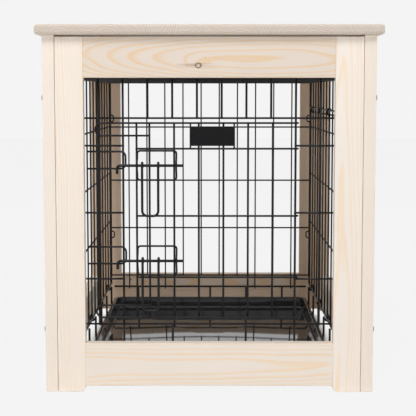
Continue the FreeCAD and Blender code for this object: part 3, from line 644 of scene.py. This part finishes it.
def pan_section(lip, wall, bottom, top):
    """The pan's section, from the floor's edge up the inside, over the lip and down the outside, as
    insets from the lip's outline and heights."""
    edge, bend = 0.001, 0.006
    inner = lip + wall

    def arc(inset, z, radius, start):
        turn = np.linspace(0, np.pi / 2, 6) + math.radians(start)
        return [(inset + radius * math.cos(t), z + radius * math.sin(t)) for t in turn]
    section = arc(inner + bend, bottom + wall + bend, bend, 180)[::-1]
    section += [(inner, top - 2 * edge)] + arc(inner - edge, top - edge, edge, 0)
    section += arc(edge, top - edge, edge, 90)
    section += [(0, top - wall + edge / 2), (edge / 2, top - wall)]
    section += [(lip - edge / 2, top - wall), (lip, top - wall - edge / 2)]
    section += arc(lip + bend + wall, bottom + bend + wall, bend + wall, 180)
    return np.array(section).T


def crowned_floor(rim, centre, crown):
    """Rings from the middle out to the rim. The floor rises as crown (1 - x^2)(1 - y^2), x and y
    being shares of its half width and half depth."""
    middle_point = np.array([*centre, rim[0, 2]])
    shrink = np.array([0.03, 0.15, 0.3, 0.45, 0.6, 0.75, 0.88, 0.97])[:, None, None]
    rings = middle_point + shrink * (rim[None] - middle_point)
    part = (rings[..., :2] - centre) / (rim[:, :2].max(axis=0) - centre)
    rings[..., 2] += crown * (1 - part[..., 0] ** 2) * (1 - part[..., 1] ** 2)
    return rings


def tray(settings, material):
    """A moulded pan: its section goes round a rectangle whose corners shrink by the inset."""
    lowest, highest = low("tray"), high("tray")
    inset, z = pan_section(settings.lip, settings.wall, lowest[2], highest[2])
    width, depth = (highest - lowest)[:2] / 2
    centre = (lowest + highest)[:2] / 2
    least_radius, corner_steps = 0.002, 10
    inset = inset[:, None]
    radius = np.maximum(settings.corner - inset, least_radius)
    steps = np.linspace(0, np.pi / 2, corner_steps)
    angle = np.concatenate([steps + quarter * np.pi / 2 for quarter in range(4)])[None, :]
    right = np.repeat([1, -1, -1, 1], corner_steps)[None, :]
    far = np.repeat([1, 1, -1, -1], corner_steps)[None, :]
    points = np.stack([
        centre[0] + right * (width - inset - radius) + radius * np.cos(angle),
        centre[1] + far * (depth - inset - radius) + radius * np.sin(angle),
        np.broadcast_to(z[:, None], (len(z), angle.size))], axis=-1)
    points = np.concatenate([crowned_floor(points[0], centre, settings.crown), points])
    faces = [face[::-1] for face in capped(*points.shape[:2])]
    item = mesh_object("tray_pan", points.reshape(-1, 3), faces)
    return dress(item, material, "black_tray", "table", "tray")


def frame_bolts(steel):
    """Low bolt heads with a six-sided socket, on the outer sides of the surround's posts. The
    outline gives radius and height from the socket's floor over the head and back to the shank."""
    lowest, highest = low("frame_bolts"), high("frame_bolts")
    head, thick, socket, sunk, shank, end = 0.005, 0.0025, 0.0016, 0.0012, 0.003, 0.02
    outline = np.array([(0.0, -sunk), (socket, -sunk), (socket, 0.0), (head * 0.7, 0.0),
                        (head * 0.93, -0.0006), (head, -0.0014), (head, -thick), (shank, -thick),
                        (shank, -end), (0.0, -end)])
    sides, corner_reach = 24, 1.15
    angle = np.arange(sides) * 2 * np.pi / sides
    six = np.cos(np.pi / 6) / np.cos((angle % (np.pi / 3)) - np.pi / 6)
    radius = np.repeat(outline[:, :1], sides, axis=1)
    radius[:3] = radius[:3] * six * corner_reach
    out = np.repeat(outline[:, 1:], sides, axis=1)
    points, faces = [], []
    for side, face in ((-1, lowest[0]), (1, highest[0])):
        for y in (lowest[1] + head, highest[1] - head):
            for z in (lowest[2] + head, highest[2] - head):
                grid = np.stack([face + side * out, y + radius * np.cos(angle),
                                 z + radius * np.sin(angle)], axis=-1)
                ring = grid_faces(len(outline), sides, len(points) * out.size)
                faces += ring if side < 0 else [f[::-1] for f in ring]
                points.append(grid.reshape(-1, 3))
    item = mesh_object("bolt_heads", np.concatenate(points), faces, smooth=False)
    return dress(item, steel, "bolt_steel", "table", "frame_bolts")


# ---------------------------------------------------------------- materials
class Shader:
    """The node graph of one material. Every input takes a socket or a plain value."""

    def __init__(self, name):
        self.material = bpy.data.materials.new(name)
        self.material.use_nodes = True
        self.tree = self.material.node_tree
        self.surface = self.tree.nodes["Principled BSDF"]

    def feed(self, node, inputs):
        for key, value in inputs.items():
            if isinstance(value, bpy.types.NodeSocket):
                self.tree.links.new(value, node.inputs[key])
            else:
                node.inputs[key].default_value = value

    def add(self, kind, inputs, **settings):
        node = self.tree.nodes.new("ShaderNode" + kind)
        for key, value in settings.items():
            setattr(node, key, value)
        self.feed(node, inputs)
        return node

    def place(self):
        return self.add("TexCoord", {}).outputs["Object"]

    def attribute(self, label, output="Fac"):
        return self.add("Attribute", {}, attribute_name=label).outputs[output]

    def split(self, vector):
        return self.add("SeparateXYZ", {0: vector}).outputs

    def join(self, x, y=0.0, z=0.0):
        return self.add("CombineXYZ", {0: x, 1: y, 2: z}).outputs[0]

    def math(self, operation, *values):
        return self.add("Math", dict(enumerate(values)), operation=operation).outputs[0]

    def times(self, first, second):
        return self.math("MULTIPLY", first, second)

    def plus(self, first, second):
        return self.math("ADD", first, second)

    def linear(self, value, factor, offset):
        """The value times the factor, plus the offset."""
        return self.math("MULTIPLY_ADD", value, factor, offset)

    def vector(self, operation, first, second):
        return self.add("VectorMath", {0: first, 1: second}, operation=operation).outputs[0]

    def scaled(self, vector, factors):
        return self.vector("MULTIPLY", vector, factors)

    def ease(self, value, start, end, low_value=0.0, high_value=1.0):
        """A smooth step of the value from start to end."""
        return self.add("MapRange", {"Value": value, "From Min": start, "From Max": end,
                                     "To Min": low_value, "To Max": high_value},
                        interpolation_type="SMOOTHSTEP").outputs["Result"]

    def noise(self, vector, factors, detail=2.0, roughness=0.5, output="Fac"):
        """A cloud noise; factors are its waves per metre along the three axes."""
        return self.add("TexNoise", {"Vector": self.scaled(vector, factors), "Scale": 1.0,
                                     "Detail": detail, "Roughness": roughness}).outputs[output]

    def mix(self, amount, first, second):
        """The two colours mixed; sockets 0, 6 and 7 are the Mix node's factor and colours."""
        node = self.add("Mix", {0: amount}, data_type="RGBA")
        self.feed(node, {key: value if isinstance(value, bpy.types.NodeSocket) else (*value, 1)
                         for key, value in ((6, first), (7, second))})
        return node.outputs[2]

    def finish(self, colour, roughness, skin=None, strength=0.0, distance=0.0, **more):
        """Feed the surface; skin is a bump's height, distance its depth in metres."""
        inputs = {"Base Color": colour, "Roughness": roughness, **more}
        if skin is not None:
            bump = {"Height": skin, "Strength": strength, "Distance": distance}
            inputs["Normal"] = self.add("Bump", bump).outputs[0]
        self.feed(self.surface, inputs)
        return self.material


def stave_place(shader, stave_width):
    """A point's place in its log where the board is glued from staves. Each stave's number draws
    where its pith lay, beside it and below the top, and which length of log it is."""
    pith_range, pith_lowest, log_length = 0.09, -0.03, 4.0
    x, y, z = shader.split(shader.place())
    along = shader.math("DIVIDE", x, stave_width)
    chance = shader.add("TexWhiteNoise", {"W": shader.math("FLOOR", along)},
                        noise_dimensions="1D").outputs["Color"]
    beside, behind, offset = shader.split(chance)
    across = shader.math("SUBTRACT", shader.math("FRACT", along), beside)
    depth = shader.plus(shader.math("SUBTRACT", z, high("top_board")[2]),
                        shader.linear(behind, pith_range, pith_lowest))
    return shader.join(shader.linear(offset, log_length, y),
                       shader.times(across, stave_width), depth)


def knot_marks(shader, place, knots):
    """How far the rings are pushed aside, and how strongly the rim and the brown streak show,
    summed over the knots. Distances are in half widths of the knot, roughened by a noise; the push
    falls off as e^(-gap^2)."""
    push, rim, streak = 0.0, 0.0, 0.0
    rough = shader.times(shader.noise(place, (240, 20, 240)), 0.3)

    def gap(centre, size, wide, high_up):
        apart = shader.vector("SUBTRACT", place, centre)
        scale = (1 / (size * wide), 0.2 / size, 1 / (size * high_up))
        reach = shader.add("VectorMath", {0: shader.scaled(apart, scale)}, operation="LENGTH")
        return shader.plus(reach.outputs["Value"], rough)
    for knot in knots:
        near = gap(*knot, wide=6.0, high_up=3.2)
        squared = shader.times(near, near)
        push = shader.plus(push, shader.math("EXPONENT", shader.times(squared, -1.0)))
        edge = gap(*knot, wide=1.15, high_up=1.0)
        band = shader.times(shader.ease(edge, 0.75, 1.1), shader.ease(edge, 1.4, 1.15))
        rim = shader.plus(rim, band)
        streak = shader.plus(streak, shader.ease(gap(*knot, wide=11.0, high_up=1.25), 1.2, 0.1))
    return push, rim, streak


def pith_distance(shader, place):
    """The distance from the pith of a point that a slow noise shifts by up to half the wander."""
    wander = 0.012
    cloud = shader.noise(place, (2.4, 11, 11), output="Color")
    shift = shader.scaled(shader.vector("SUBTRACT", cloud, (0.5, 0.5, 0.5)), (0, wander, wander))
    _, beside, behind = shader.split(shader.vector("ADD", shift, place))
    return shader.math("SQRT", shader.plus(shader.times(beside, beside),
                                           shader.times(behind, behind)))


def late_wood(shader, rings):
    """How far a point lies in late wood, which deepens slowly through a ring and ends at once. Two
    noises along the rings make their widths and their strengths uneven."""
    by_ring = shader.join(rings)
    phase = shader.math("FRACT", shader.linear(shader.noise(by_ring, (0.45, 0, 0)), 1.4, rings))
    late = shader.times(shader.ease(phase, 0.46, 0.84), shader.ease(phase, 1.0, 0.88))
    strength = shader.noise(by_ring, (0.23, 0, 0))
    return shader.times(late, shader.ease(strength, 0.3, 0.7, 0.45, 1.0))


def stave_shade(shader, tone_and_shade, late):
    """The top is darker than the frame. Its ends show across the grain: darker still, with the year
    lines standing out."""
    normal = shader.add("NewGeometry", {}).outputs["Normal"]
    end_cut = shader.ease(shader.math("ABSOLUTE", shader.split(normal)[1]), 0.4, 0.95)
    lines = shader.times(end_cut, late)
    tone_and_shade = shader.scaled(tone_and_shade, (0.79, 0.79, 0.79))
    for share, shift in ((end_cut, (0.90, 0.88, 0.86)), (lines, (0.86, 0.74, 0.66))):
        tone_and_shade = shader.scaled(tone_and_shade, shader.mix(share, (1, 1, 1), shift))
    return tone_and_shade, shader.times(late, shader.linear(end_cut, -0.9, 1.0))


def board_shade(shader, tone_and_shade, late):
    """A darker board is a browner one: green and blue fall faster than red. On the shaded boards
    this darkness is painted shade, and the boards inside the surround get a painted warm shade.
    """
    # The lightness attribute: the board's tone, with painted shade on the shaded boards.
    fall = shader.attribute("tone_and_shade")
    brown = shader.join(fall, shader.math("POWER", fall, 1.25), shader.math("POWER", fall, 1.5))
    # Painted warm shade: a browner tint on the boards inside the surround.
    warm_shade_tint = shader.mix(shader.attribute("painted_warm_shade"), (1, 1, 1), (1, 0.83, 0.68))
    tone_and_shade = shader.scaled(shader.scaled(tone_and_shade, brown), warm_shade_tint)
    return tone_and_shade, shader.times(late, shader.attribute("figure"))


def pine(name, settings, staves=False, knots=()):
    """Solid pine. Year rings are cylinders round the pith, so each face of a board shows the cut
    that its place in the log gives. The rings wander with a slow noise and part round a knot; fine
    fibres run along the grain."""
    stave_rings, parted = 1.45, 1.6
    shader = Shader(name)
    object_place = shader.place()
    place = (stave_place(shader, settings.stave_width) if staves
             else shader.attribute("log", "Vector"))
    width = settings.ring_width * (stave_rings if staves else 1.0)
    rings = shader.math("DIVIDE", pith_distance(shader, place), width)
    if knots:
        push, rim, streak = knot_marks(shader, object_place, knots)
        rings = shader.linear(push, -parted, rings)
    fibres = shader.noise(place, (9, 750, 750), 3, 0.65)
    tint = shader.noise(place, (2.2, 16, 16), 3)
    grey = shader.times(shader.linear(fibres, 0.06, 0.97), shader.linear(tint, 0.06, 0.97))
    shade = stave_shade if staves else board_shade
    tone_and_shade, late = shade(shader, shader.join(grey, grey, grey), late_wood(shader, rings))
    colour = shader.mix(late, settings.early, settings.late)
    if knots:
        lines = shader.ease(shader.noise(object_place, (14, 14, 620)), 0.38, 0.6)
        colour = shader.mix(shader.times(streak, lines), colour, settings.streak)
        colour = shader.mix(shader.times(rim, 0.85), colour, settings.knot)
    relief = shader.linear(late, 0.4, shader.times(fibres, 0.6))
    return shader.finish(shader.scaled(colour, tone_and_shade), shader.linear(fibres, 0.15, 0.5), relief,
                         strength=0.25, distance=0.0002, **{"Specular IOR Level": 0.3})


def coated(name, base, roughness, grain, bump_height, gloss=0.28):
    """A painted or moulded black: an even base with a skin whose bumps set the sheen. grain is the
    skin's waves per metre."""
    shader = Shader(name)
    skin = shader.noise(shader.place(), (grain, grain, grain))
    colour = shader.add("VectorMath", {0: tuple(base), "Scale": shader.linear(skin, 0.3, 0.85)},
                        operation="SCALE").outputs[0]
    return shader.finish(colour, roughness, skin, strength=0.3, distance=bump_height,
                         **{"Specular IOR Level": gloss})


def zinc(name):
    """Dull bright steel with a faint cloud in its colour and sheen."""
    shader = Shader(name)
    cloud = shader.noise(shader.place(), (260, 260, 260), 3)
    return shader.finish(shader.mix(cloud, (0.22, 0.22, 0.23), (0.36, 0.36, 0.37)),
                         shader.linear(cloud, 0.2, 0.28), Metallic=1.0)


def powder_coat(settings):
    return (bpy.data.materials.get("black_powder_coat")
            or coated("black_powder_coat", settings.coat, roughness=0.42, grain=900,
                      bump_height=0.00008))


# ---------------------------------------------------------------- boards
# Centre and half width of the knots: one in the front top rail, one in the back bottom rail.
KNOTS = (((-0.0195, -0.409, 0.5865), 0.0050), ((-0.2, 0.409, 0.074), 0.0028))

# Each board's length axis, its cut, its tone and how strongly its year lines show. On some boards
# the tone also holds painted shade.
BOARDS = {
    "front_left_stile": (2, Cut(0, 0.085, 0.0, 0.11, 0.010, 0.0, 0.3), 1.0, 0.8),
    "front_right_stile": (2, Cut(0, 0.012, -0.010, 0.062, 0.012, 0.02, 1.7), 1.0, 0.85),
    "back_left_stile": (2, Cut(0, 0.030, 0.010, 0.040, 0.020, 0.0, 3.1), 0.98, 1.5),
    # Darkened to 0.9: painted shade inside the surround.
    "back_right_stile": (2, Cut(0, -0.020, -0.010, 0.050, 0.024, 0.0, 4.4), 0.9, 1.4),
    "left_front_post": (2, Cut(1, 0.040, 0.0, 0.050, 0.02, 0.0, 5.2), 0.99, 0.5),
    # Darkened to 0.88: painted shade inside the surround.
    "left_rear_post": (2, Cut(1, -0.030, 0.01, 0.040, 0.03, 0.0, 6.3), 0.88, 0.7),
    "right_front_post": (2, Cut(1, 0.050, 0.02, 0.060, 0.01, 0.0, 7.7), 0.965, 0.5),
    # Darkened to 0.86: painted shade inside the surround.
    "right_rear_post": (2, Cut(1, 0.010, 0.0, 0.045, 0.03, 0.0, 8.9), 0.86, 0.7),
    # Darkened to 0.85: the rail's own darker wood plus a painted shadow under the top board's
    # overhang.
    "front_top_rail": (0, Cut(2, 0.003, 0.010, 0.068, -0.035, 0.14, 9.4), 0.85, 1.3),
    "front_bottom_rail": (0, Cut(2, 0.002, -0.015, 0.070, 0.010, 0.01, 10.2), 0.955, 1.1),
    "back_top_rail": (0, Cut(2, 0.020, 0.010, 0.050, -0.030, 0.0, 11.5), 0.98, 1.7),
    "back_bottom_rail": (0, Cut(2, -0.015, 0.010, 0.060, 0.030, 0.0, 12.8), 1.0, 1.8),
    "left_top_rail": (1, Cut(2, 0.012, 0.006, 0.054, 0.022, 0.02, 14.1), 0.96, 1.0),
    "left_bottom_rail": (1, Cut(2, -0.010, 0.008, 0.060, 0.020, 0.0, 15.4), 0.97, 1.0),
    "right_top_rail": (1, Cut(2, -0.016, 0.006, 0.056, -0.024, 0.0, 16.6), 0.96, 1.0),
    "right_bottom_rail": (1, Cut(2, 0.006, 0.0, 0.062, 0.026, 0.01, 17.5), 0.97, 1.0),
}


def surround(settings):
    """Two end frames of four boards each, four side boards between them and the top. A dark seam
    shows beside each post and under the top board in front."""
    plain = pine("pine_boards", settings, knots=KNOTS)
    # The last number is a painted warm shade for the back and rear boards, which stand inside the
    # surround.
    seam, under_top, deeper, inner_warm_shade = 0.0006, 0.0012, 0.002, 0.55
    trims = {"front_bottom_rail": Trim(2, -1, -deeper)}
    for name in ("front_left_stile", "front_right_stile", "front_top_rail"):
        trims[name] = Trim(2, 1, under_top)
    for name, (along, cut, tone_and_shade, figure) in BOARDS.items():
        inward = 1 if "left" in name else -1
        foot, foot_side = (settings.foot_round, inward) if "stile" in name else (0, 0)
        board(name, along, plain, settings.edge_round, cut, foot, foot_side, tone_and_shade, figure,
              painted_warm_shade=inner_warm_shade if "back" in name or "rear" in name else 0.0,
              trim=Trim(0, inward, seam) if "post" in name else trims.get(name))
    # The staves take their grain from the object's own place, so this cut isn't read.
    board("top_board", 1, pine("pine_staves", settings, staves=True), settings.top_round,
          Cut(0, 0, 0, 0, 0, 0, 0))


# ---------------------------------------------------------------- studio
def floor(settings):
    """A wide floor that the camera sees as the backdrop's colour, less a share of its own shade.
    The share is whole under the crate and eases to the small one towards the surround's edges."""
    reach, side_ease, end_start, end_ease = 12.0, 0.03, 0.085, 0.12
    corners = np.array([(-1, -1, 0), (1, -1, 0), (1, 1, 0), (-1, 1, 0)]) * reach
    item = mesh_object("studio_floor", corners, [(0, 1, 2, 3)], smooth=False)
    colour = (*settings.backdrop, 1)
    shader = Shader("studio_floor")
    shader.finish(colour, 1.0, **{"Specular IOR Level": 0.0})
    glow = shader.add("Emission", {"Color": colour, "Strength": 1.0})
    x, y, _ = shader.split(shader.place())
    side, end = high("front_right_stile")[0], high("back_left_stile")[1]
    under = shader.times(
        shader.ease(shader.math("ABSOLUTE", x), side, side - side_ease),
        shader.ease(shader.math("ABSOLUTE", y), end - end_start, end - end_ease))
    seen = shader.add("LightPath", {}).outputs["Is Camera Ray"]
    share = shader.times(seen, shader.linear(under, settings.shade - 1, 1 - settings.shade))
    blend = shader.add("MixShader", {0: share, 1: shader.surface.outputs[0], 2: glow.outputs[0]})
    shader.feed(shader.tree.nodes["Material Output"], {"Surface": blend.outputs[0]})
    item.data.materials.append(shader.material)
    return item


def world(settings):
    """The camera and mirror rays see the backdrop at full strength, other rays the fill."""
    studio = bpy.data.worlds.new("studio")
    studio.use_nodes = True
    nodes, links = studio.node_tree.nodes, studio.node_tree.links
    background = nodes["Background"]
    background.inputs["Color"].default_value = (*settings.backdrop, 1)
    path = nodes.new("ShaderNodeLightPath")
    seen = path.outputs["Is Camera Ray"]
    for kind in ("Is Glossy Ray", "Is Transmission Ray"):
        either = nodes.new("ShaderNodeMath")
        either.operation = "MAXIMUM"
        links.new(seen, either.inputs[0])
        links.new(path.outputs[kind], either.inputs[1])
        seen = either.outputs[0]
    strength = nodes.new("ShaderNodeMapRange")
    links.new(seen, strength.inputs["Value"])
    strength.inputs["To Min"].default_value = settings.fill
    strength.inputs["To Max"].default_value = 1.0
    links.new(strength.outputs["Result"], background.inputs["Strength"])
    bpy.context.scene.world = studio


def lamp(name, power, size, place, aim, mirrored):
    """A round lamp turned towards its aim; mirrored says whether reflections show it."""
    light = bpy.data.lights.new(name, "AREA")
    light.shape, light.size, light.energy = "DISK", size, power
    item = bpy.data.objects.new(name, light)
    item.location = place
    heading = np.array(aim) - np.array(place)
    flat = math.hypot(heading[0], heading[1])
    item.rotation_euler = (math.atan2(flat, -heading[2]), 0,
                           math.atan2(heading[1], heading[0]) - math.pi / 2)
    item.visible_glossy = mirrored
    bpy.context.collection.objects.link(item)


def lamps(settings):
    """The key lamp over the camera, and softer ones in front, beside and behind that no reflection
    shows."""
    key_size, soft_size = 1.3, 1.6
    lamp("key_light", settings.key, key_size, (-0.45, -2.15, 3.1), aim=(0, 0, 0.35), mirrored=True)
    for name, power, place in (("front_light", settings.front, (0.3, -3.6, 1.0)),
                               ("left_light", settings.around, (-3.0, -0.35, 1.5)),
                               ("right_light", settings.around, (3.0, -0.35, 1.5)),
                               ("rear_light", settings.around, (0.0, 3.2, 1.8))):
        lamp(name, power, soft_size, place, aim=(0, 0, 0.3), mirrored=False)


def camera(settings):
    """The photograph's camera, level but for its pitch and yaw."""
    view = bpy.data.cameras.new("camera")
    frame_pixels = 416
    view.sensor_width = 36.0
    view.lens = settings.lens_pixels / frame_pixels * view.sensor_width
    view.clip_end = 100
    item = bpy.data.objects.new("camera", view)
    front = low("front_left_stile")[1]
    item.location = (settings.aside, front - settings.distance, settings.height)
    item.rotation_euler = (math.pi / 2 - settings.pitch, 0, settings.yaw)
    bpy.context.collection.objects.link(item)
    bpy.context.scene.camera = item


# ---------------------------------------------------------------- operators
class CRATE_OT_surround(bpy.types.Operator):
    """Build the pine surround: end frames, side boards and the top board"""
    bl_idname = "crate_table.surround"
    bl_label = "Pine surround"

    def execute(self, context):
        surround(context.scene.crate_pine)
        return {"FINISHED"}


class CRATE_OT_bolts(bpy.types.Operator):
    """Add the bolt heads on the surround's posts"""
    bl_idname = "crate_table.bolts"
    bl_label = "Frame bolts"

    def execute(self, context):
        frame_bolts(zinc("bolt_zinc"))
        return {"FINISHED"}


class CRATE_OT_cage(bpy.types.Operator):
    """Build the crate's fixed wirework: base, panels, roof, hooks, loops and clips"""
    bl_idname = "crate_table.cage"
    bl_label = "Wire crate"

    def execute(self, context):
        wire, rails = context.scene.crate_wire, context.scene.crate_rails
        crate, coat = Crate(wire), powder_coat(wire)
        crate_base(wire, rails, crate, coat)
        base_hooks(wire, rails, crate, coat)
        front_panel(wire, rails, crate, coat)
        back_panel(wire, rails, crate, coat)
        side_panel("left_panel", -1, wire, rails, crate, coat)
        side_panel("right_panel", 1, wire, rails, crate, coat)
        crate_roof(wire, crate, coat)
        hinge_loops(wire, rails, crate, coat)
        corner_clips(wire, crate, coat)
        return {"FINISHED"}


class CRATE_OT_door(bpy.types.Operator):
    """Build the front door with its guards, keepers, slide bolts and pull handles"""
    bl_idname = "crate_table.door"
    bl_label = "Door and bolts"

    def execute(self, context):
        wire, rails = context.scene.crate_wire, context.scene.crate_rails
        crate, coat = Crate(wire), powder_coat(wire)
        front_door(wire, rails, crate, coat)
        for which in ("upper", "lower"):
            guard(which, wire, coat)
            keeper(which, wire, coat)
            bolt(which, wire, coat)
            pull_handle(which, wire, coat)
        return {"FINISHED"}


class CRATE_OT_plate(bpy.types.Operator):
    """Hang the bare plate between its two wires"""
    bl_idname = "crate_table.plate"
    bl_label = "Plate"

    def execute(self, context):
        wire = context.scene.crate_wire
        plate_hangers(wire, powder_coat(wire))
        name_plate(coated("plate_black", wire.coat, roughness=0.4, grain=500,
                          bump_height=0.00005, gloss=0.15))
        return {"FINISHED"}


class CRATE_OT_tray(bpy.types.Operator):
    """Lay the moulded pan on the floor wires"""
    bl_idname = "crate_table.tray"
    bl_label = "Tray"

    def execute(self, context):
        settings = context.scene.crate_tray
        tray(settings, coated("tray_gloss", settings.gloss, roughness=0.045, grain=9,
                              bump_height=0.0002, gloss=0.8))
        return {"FINISHED"}


class CRATE_OT_studio(bpy.types.Operator):
    """Set up the floor, the backdrop, the lamps and the camera"""
    bl_idname = "crate_table.studio"
    bl_label = "Studio"

    def execute(self, context):
        settings = context.scene.crate_studio
        floor(settings)
        world(settings)
        lamps(settings)
        camera(settings)
        context.scene.view_settings.view_transform = "Standard"
        return {"FINISHED"}


class CRATE_PT_panel(bpy.types.Panel):
    """Sizes, colours and build steps"""
    bl_label = "Crate Table"
    bl_space_type = "VIEW_3D"
    bl_region_type = "UI"
    bl_category = "Crate Table"

    def draw(self, context):
        for name, cls in SETTINGS.items():
            for prop in cls.__annotations__:
                self.layout.prop(getattr(context.scene, name), prop)
        for cls in STEPS:
            self.layout.operator(cls.bl_idname)


SETTINGS = {"crate_pine": PineSettings, "crate_wire": WireSettings, "crate_rails": RailSettings,
            "crate_tray": TraySettings, "crate_studio": StudioSettings}
STEPS = (CRATE_OT_surround, CRATE_OT_bolts, CRATE_OT_cage, CRATE_OT_door, CRATE_OT_plate,
         CRATE_OT_tray, CRATE_OT_studio)


def register():
    for cls in (*SETTINGS.values(), *STEPS, CRATE_PT_panel):
        bpy.utils.register_class(cls)
    for name, cls in SETTINGS.items():
        setattr(bpy.types.Scene, name, PointerProperty(type=cls))


def unregister():
    for name in SETTINGS:
        delattr(bpy.types.Scene, name)
    for cls in reversed((*SETTINGS.values(), *STEPS, CRATE_PT_panel)):
        bpy.utils.unregister_class(cls)


def main():
    register()
    bpy.ops.crate_table.surround()
    bpy.ops.crate_table.bolts()
    bpy.ops.crate_table.cage()
    bpy.ops.crate_table.door()
    bpy.ops.crate_table.plate()
    bpy.ops.crate_table.tray()
    bpy.ops.crate_table.studio()


if __name__ == "__main__":
    main()
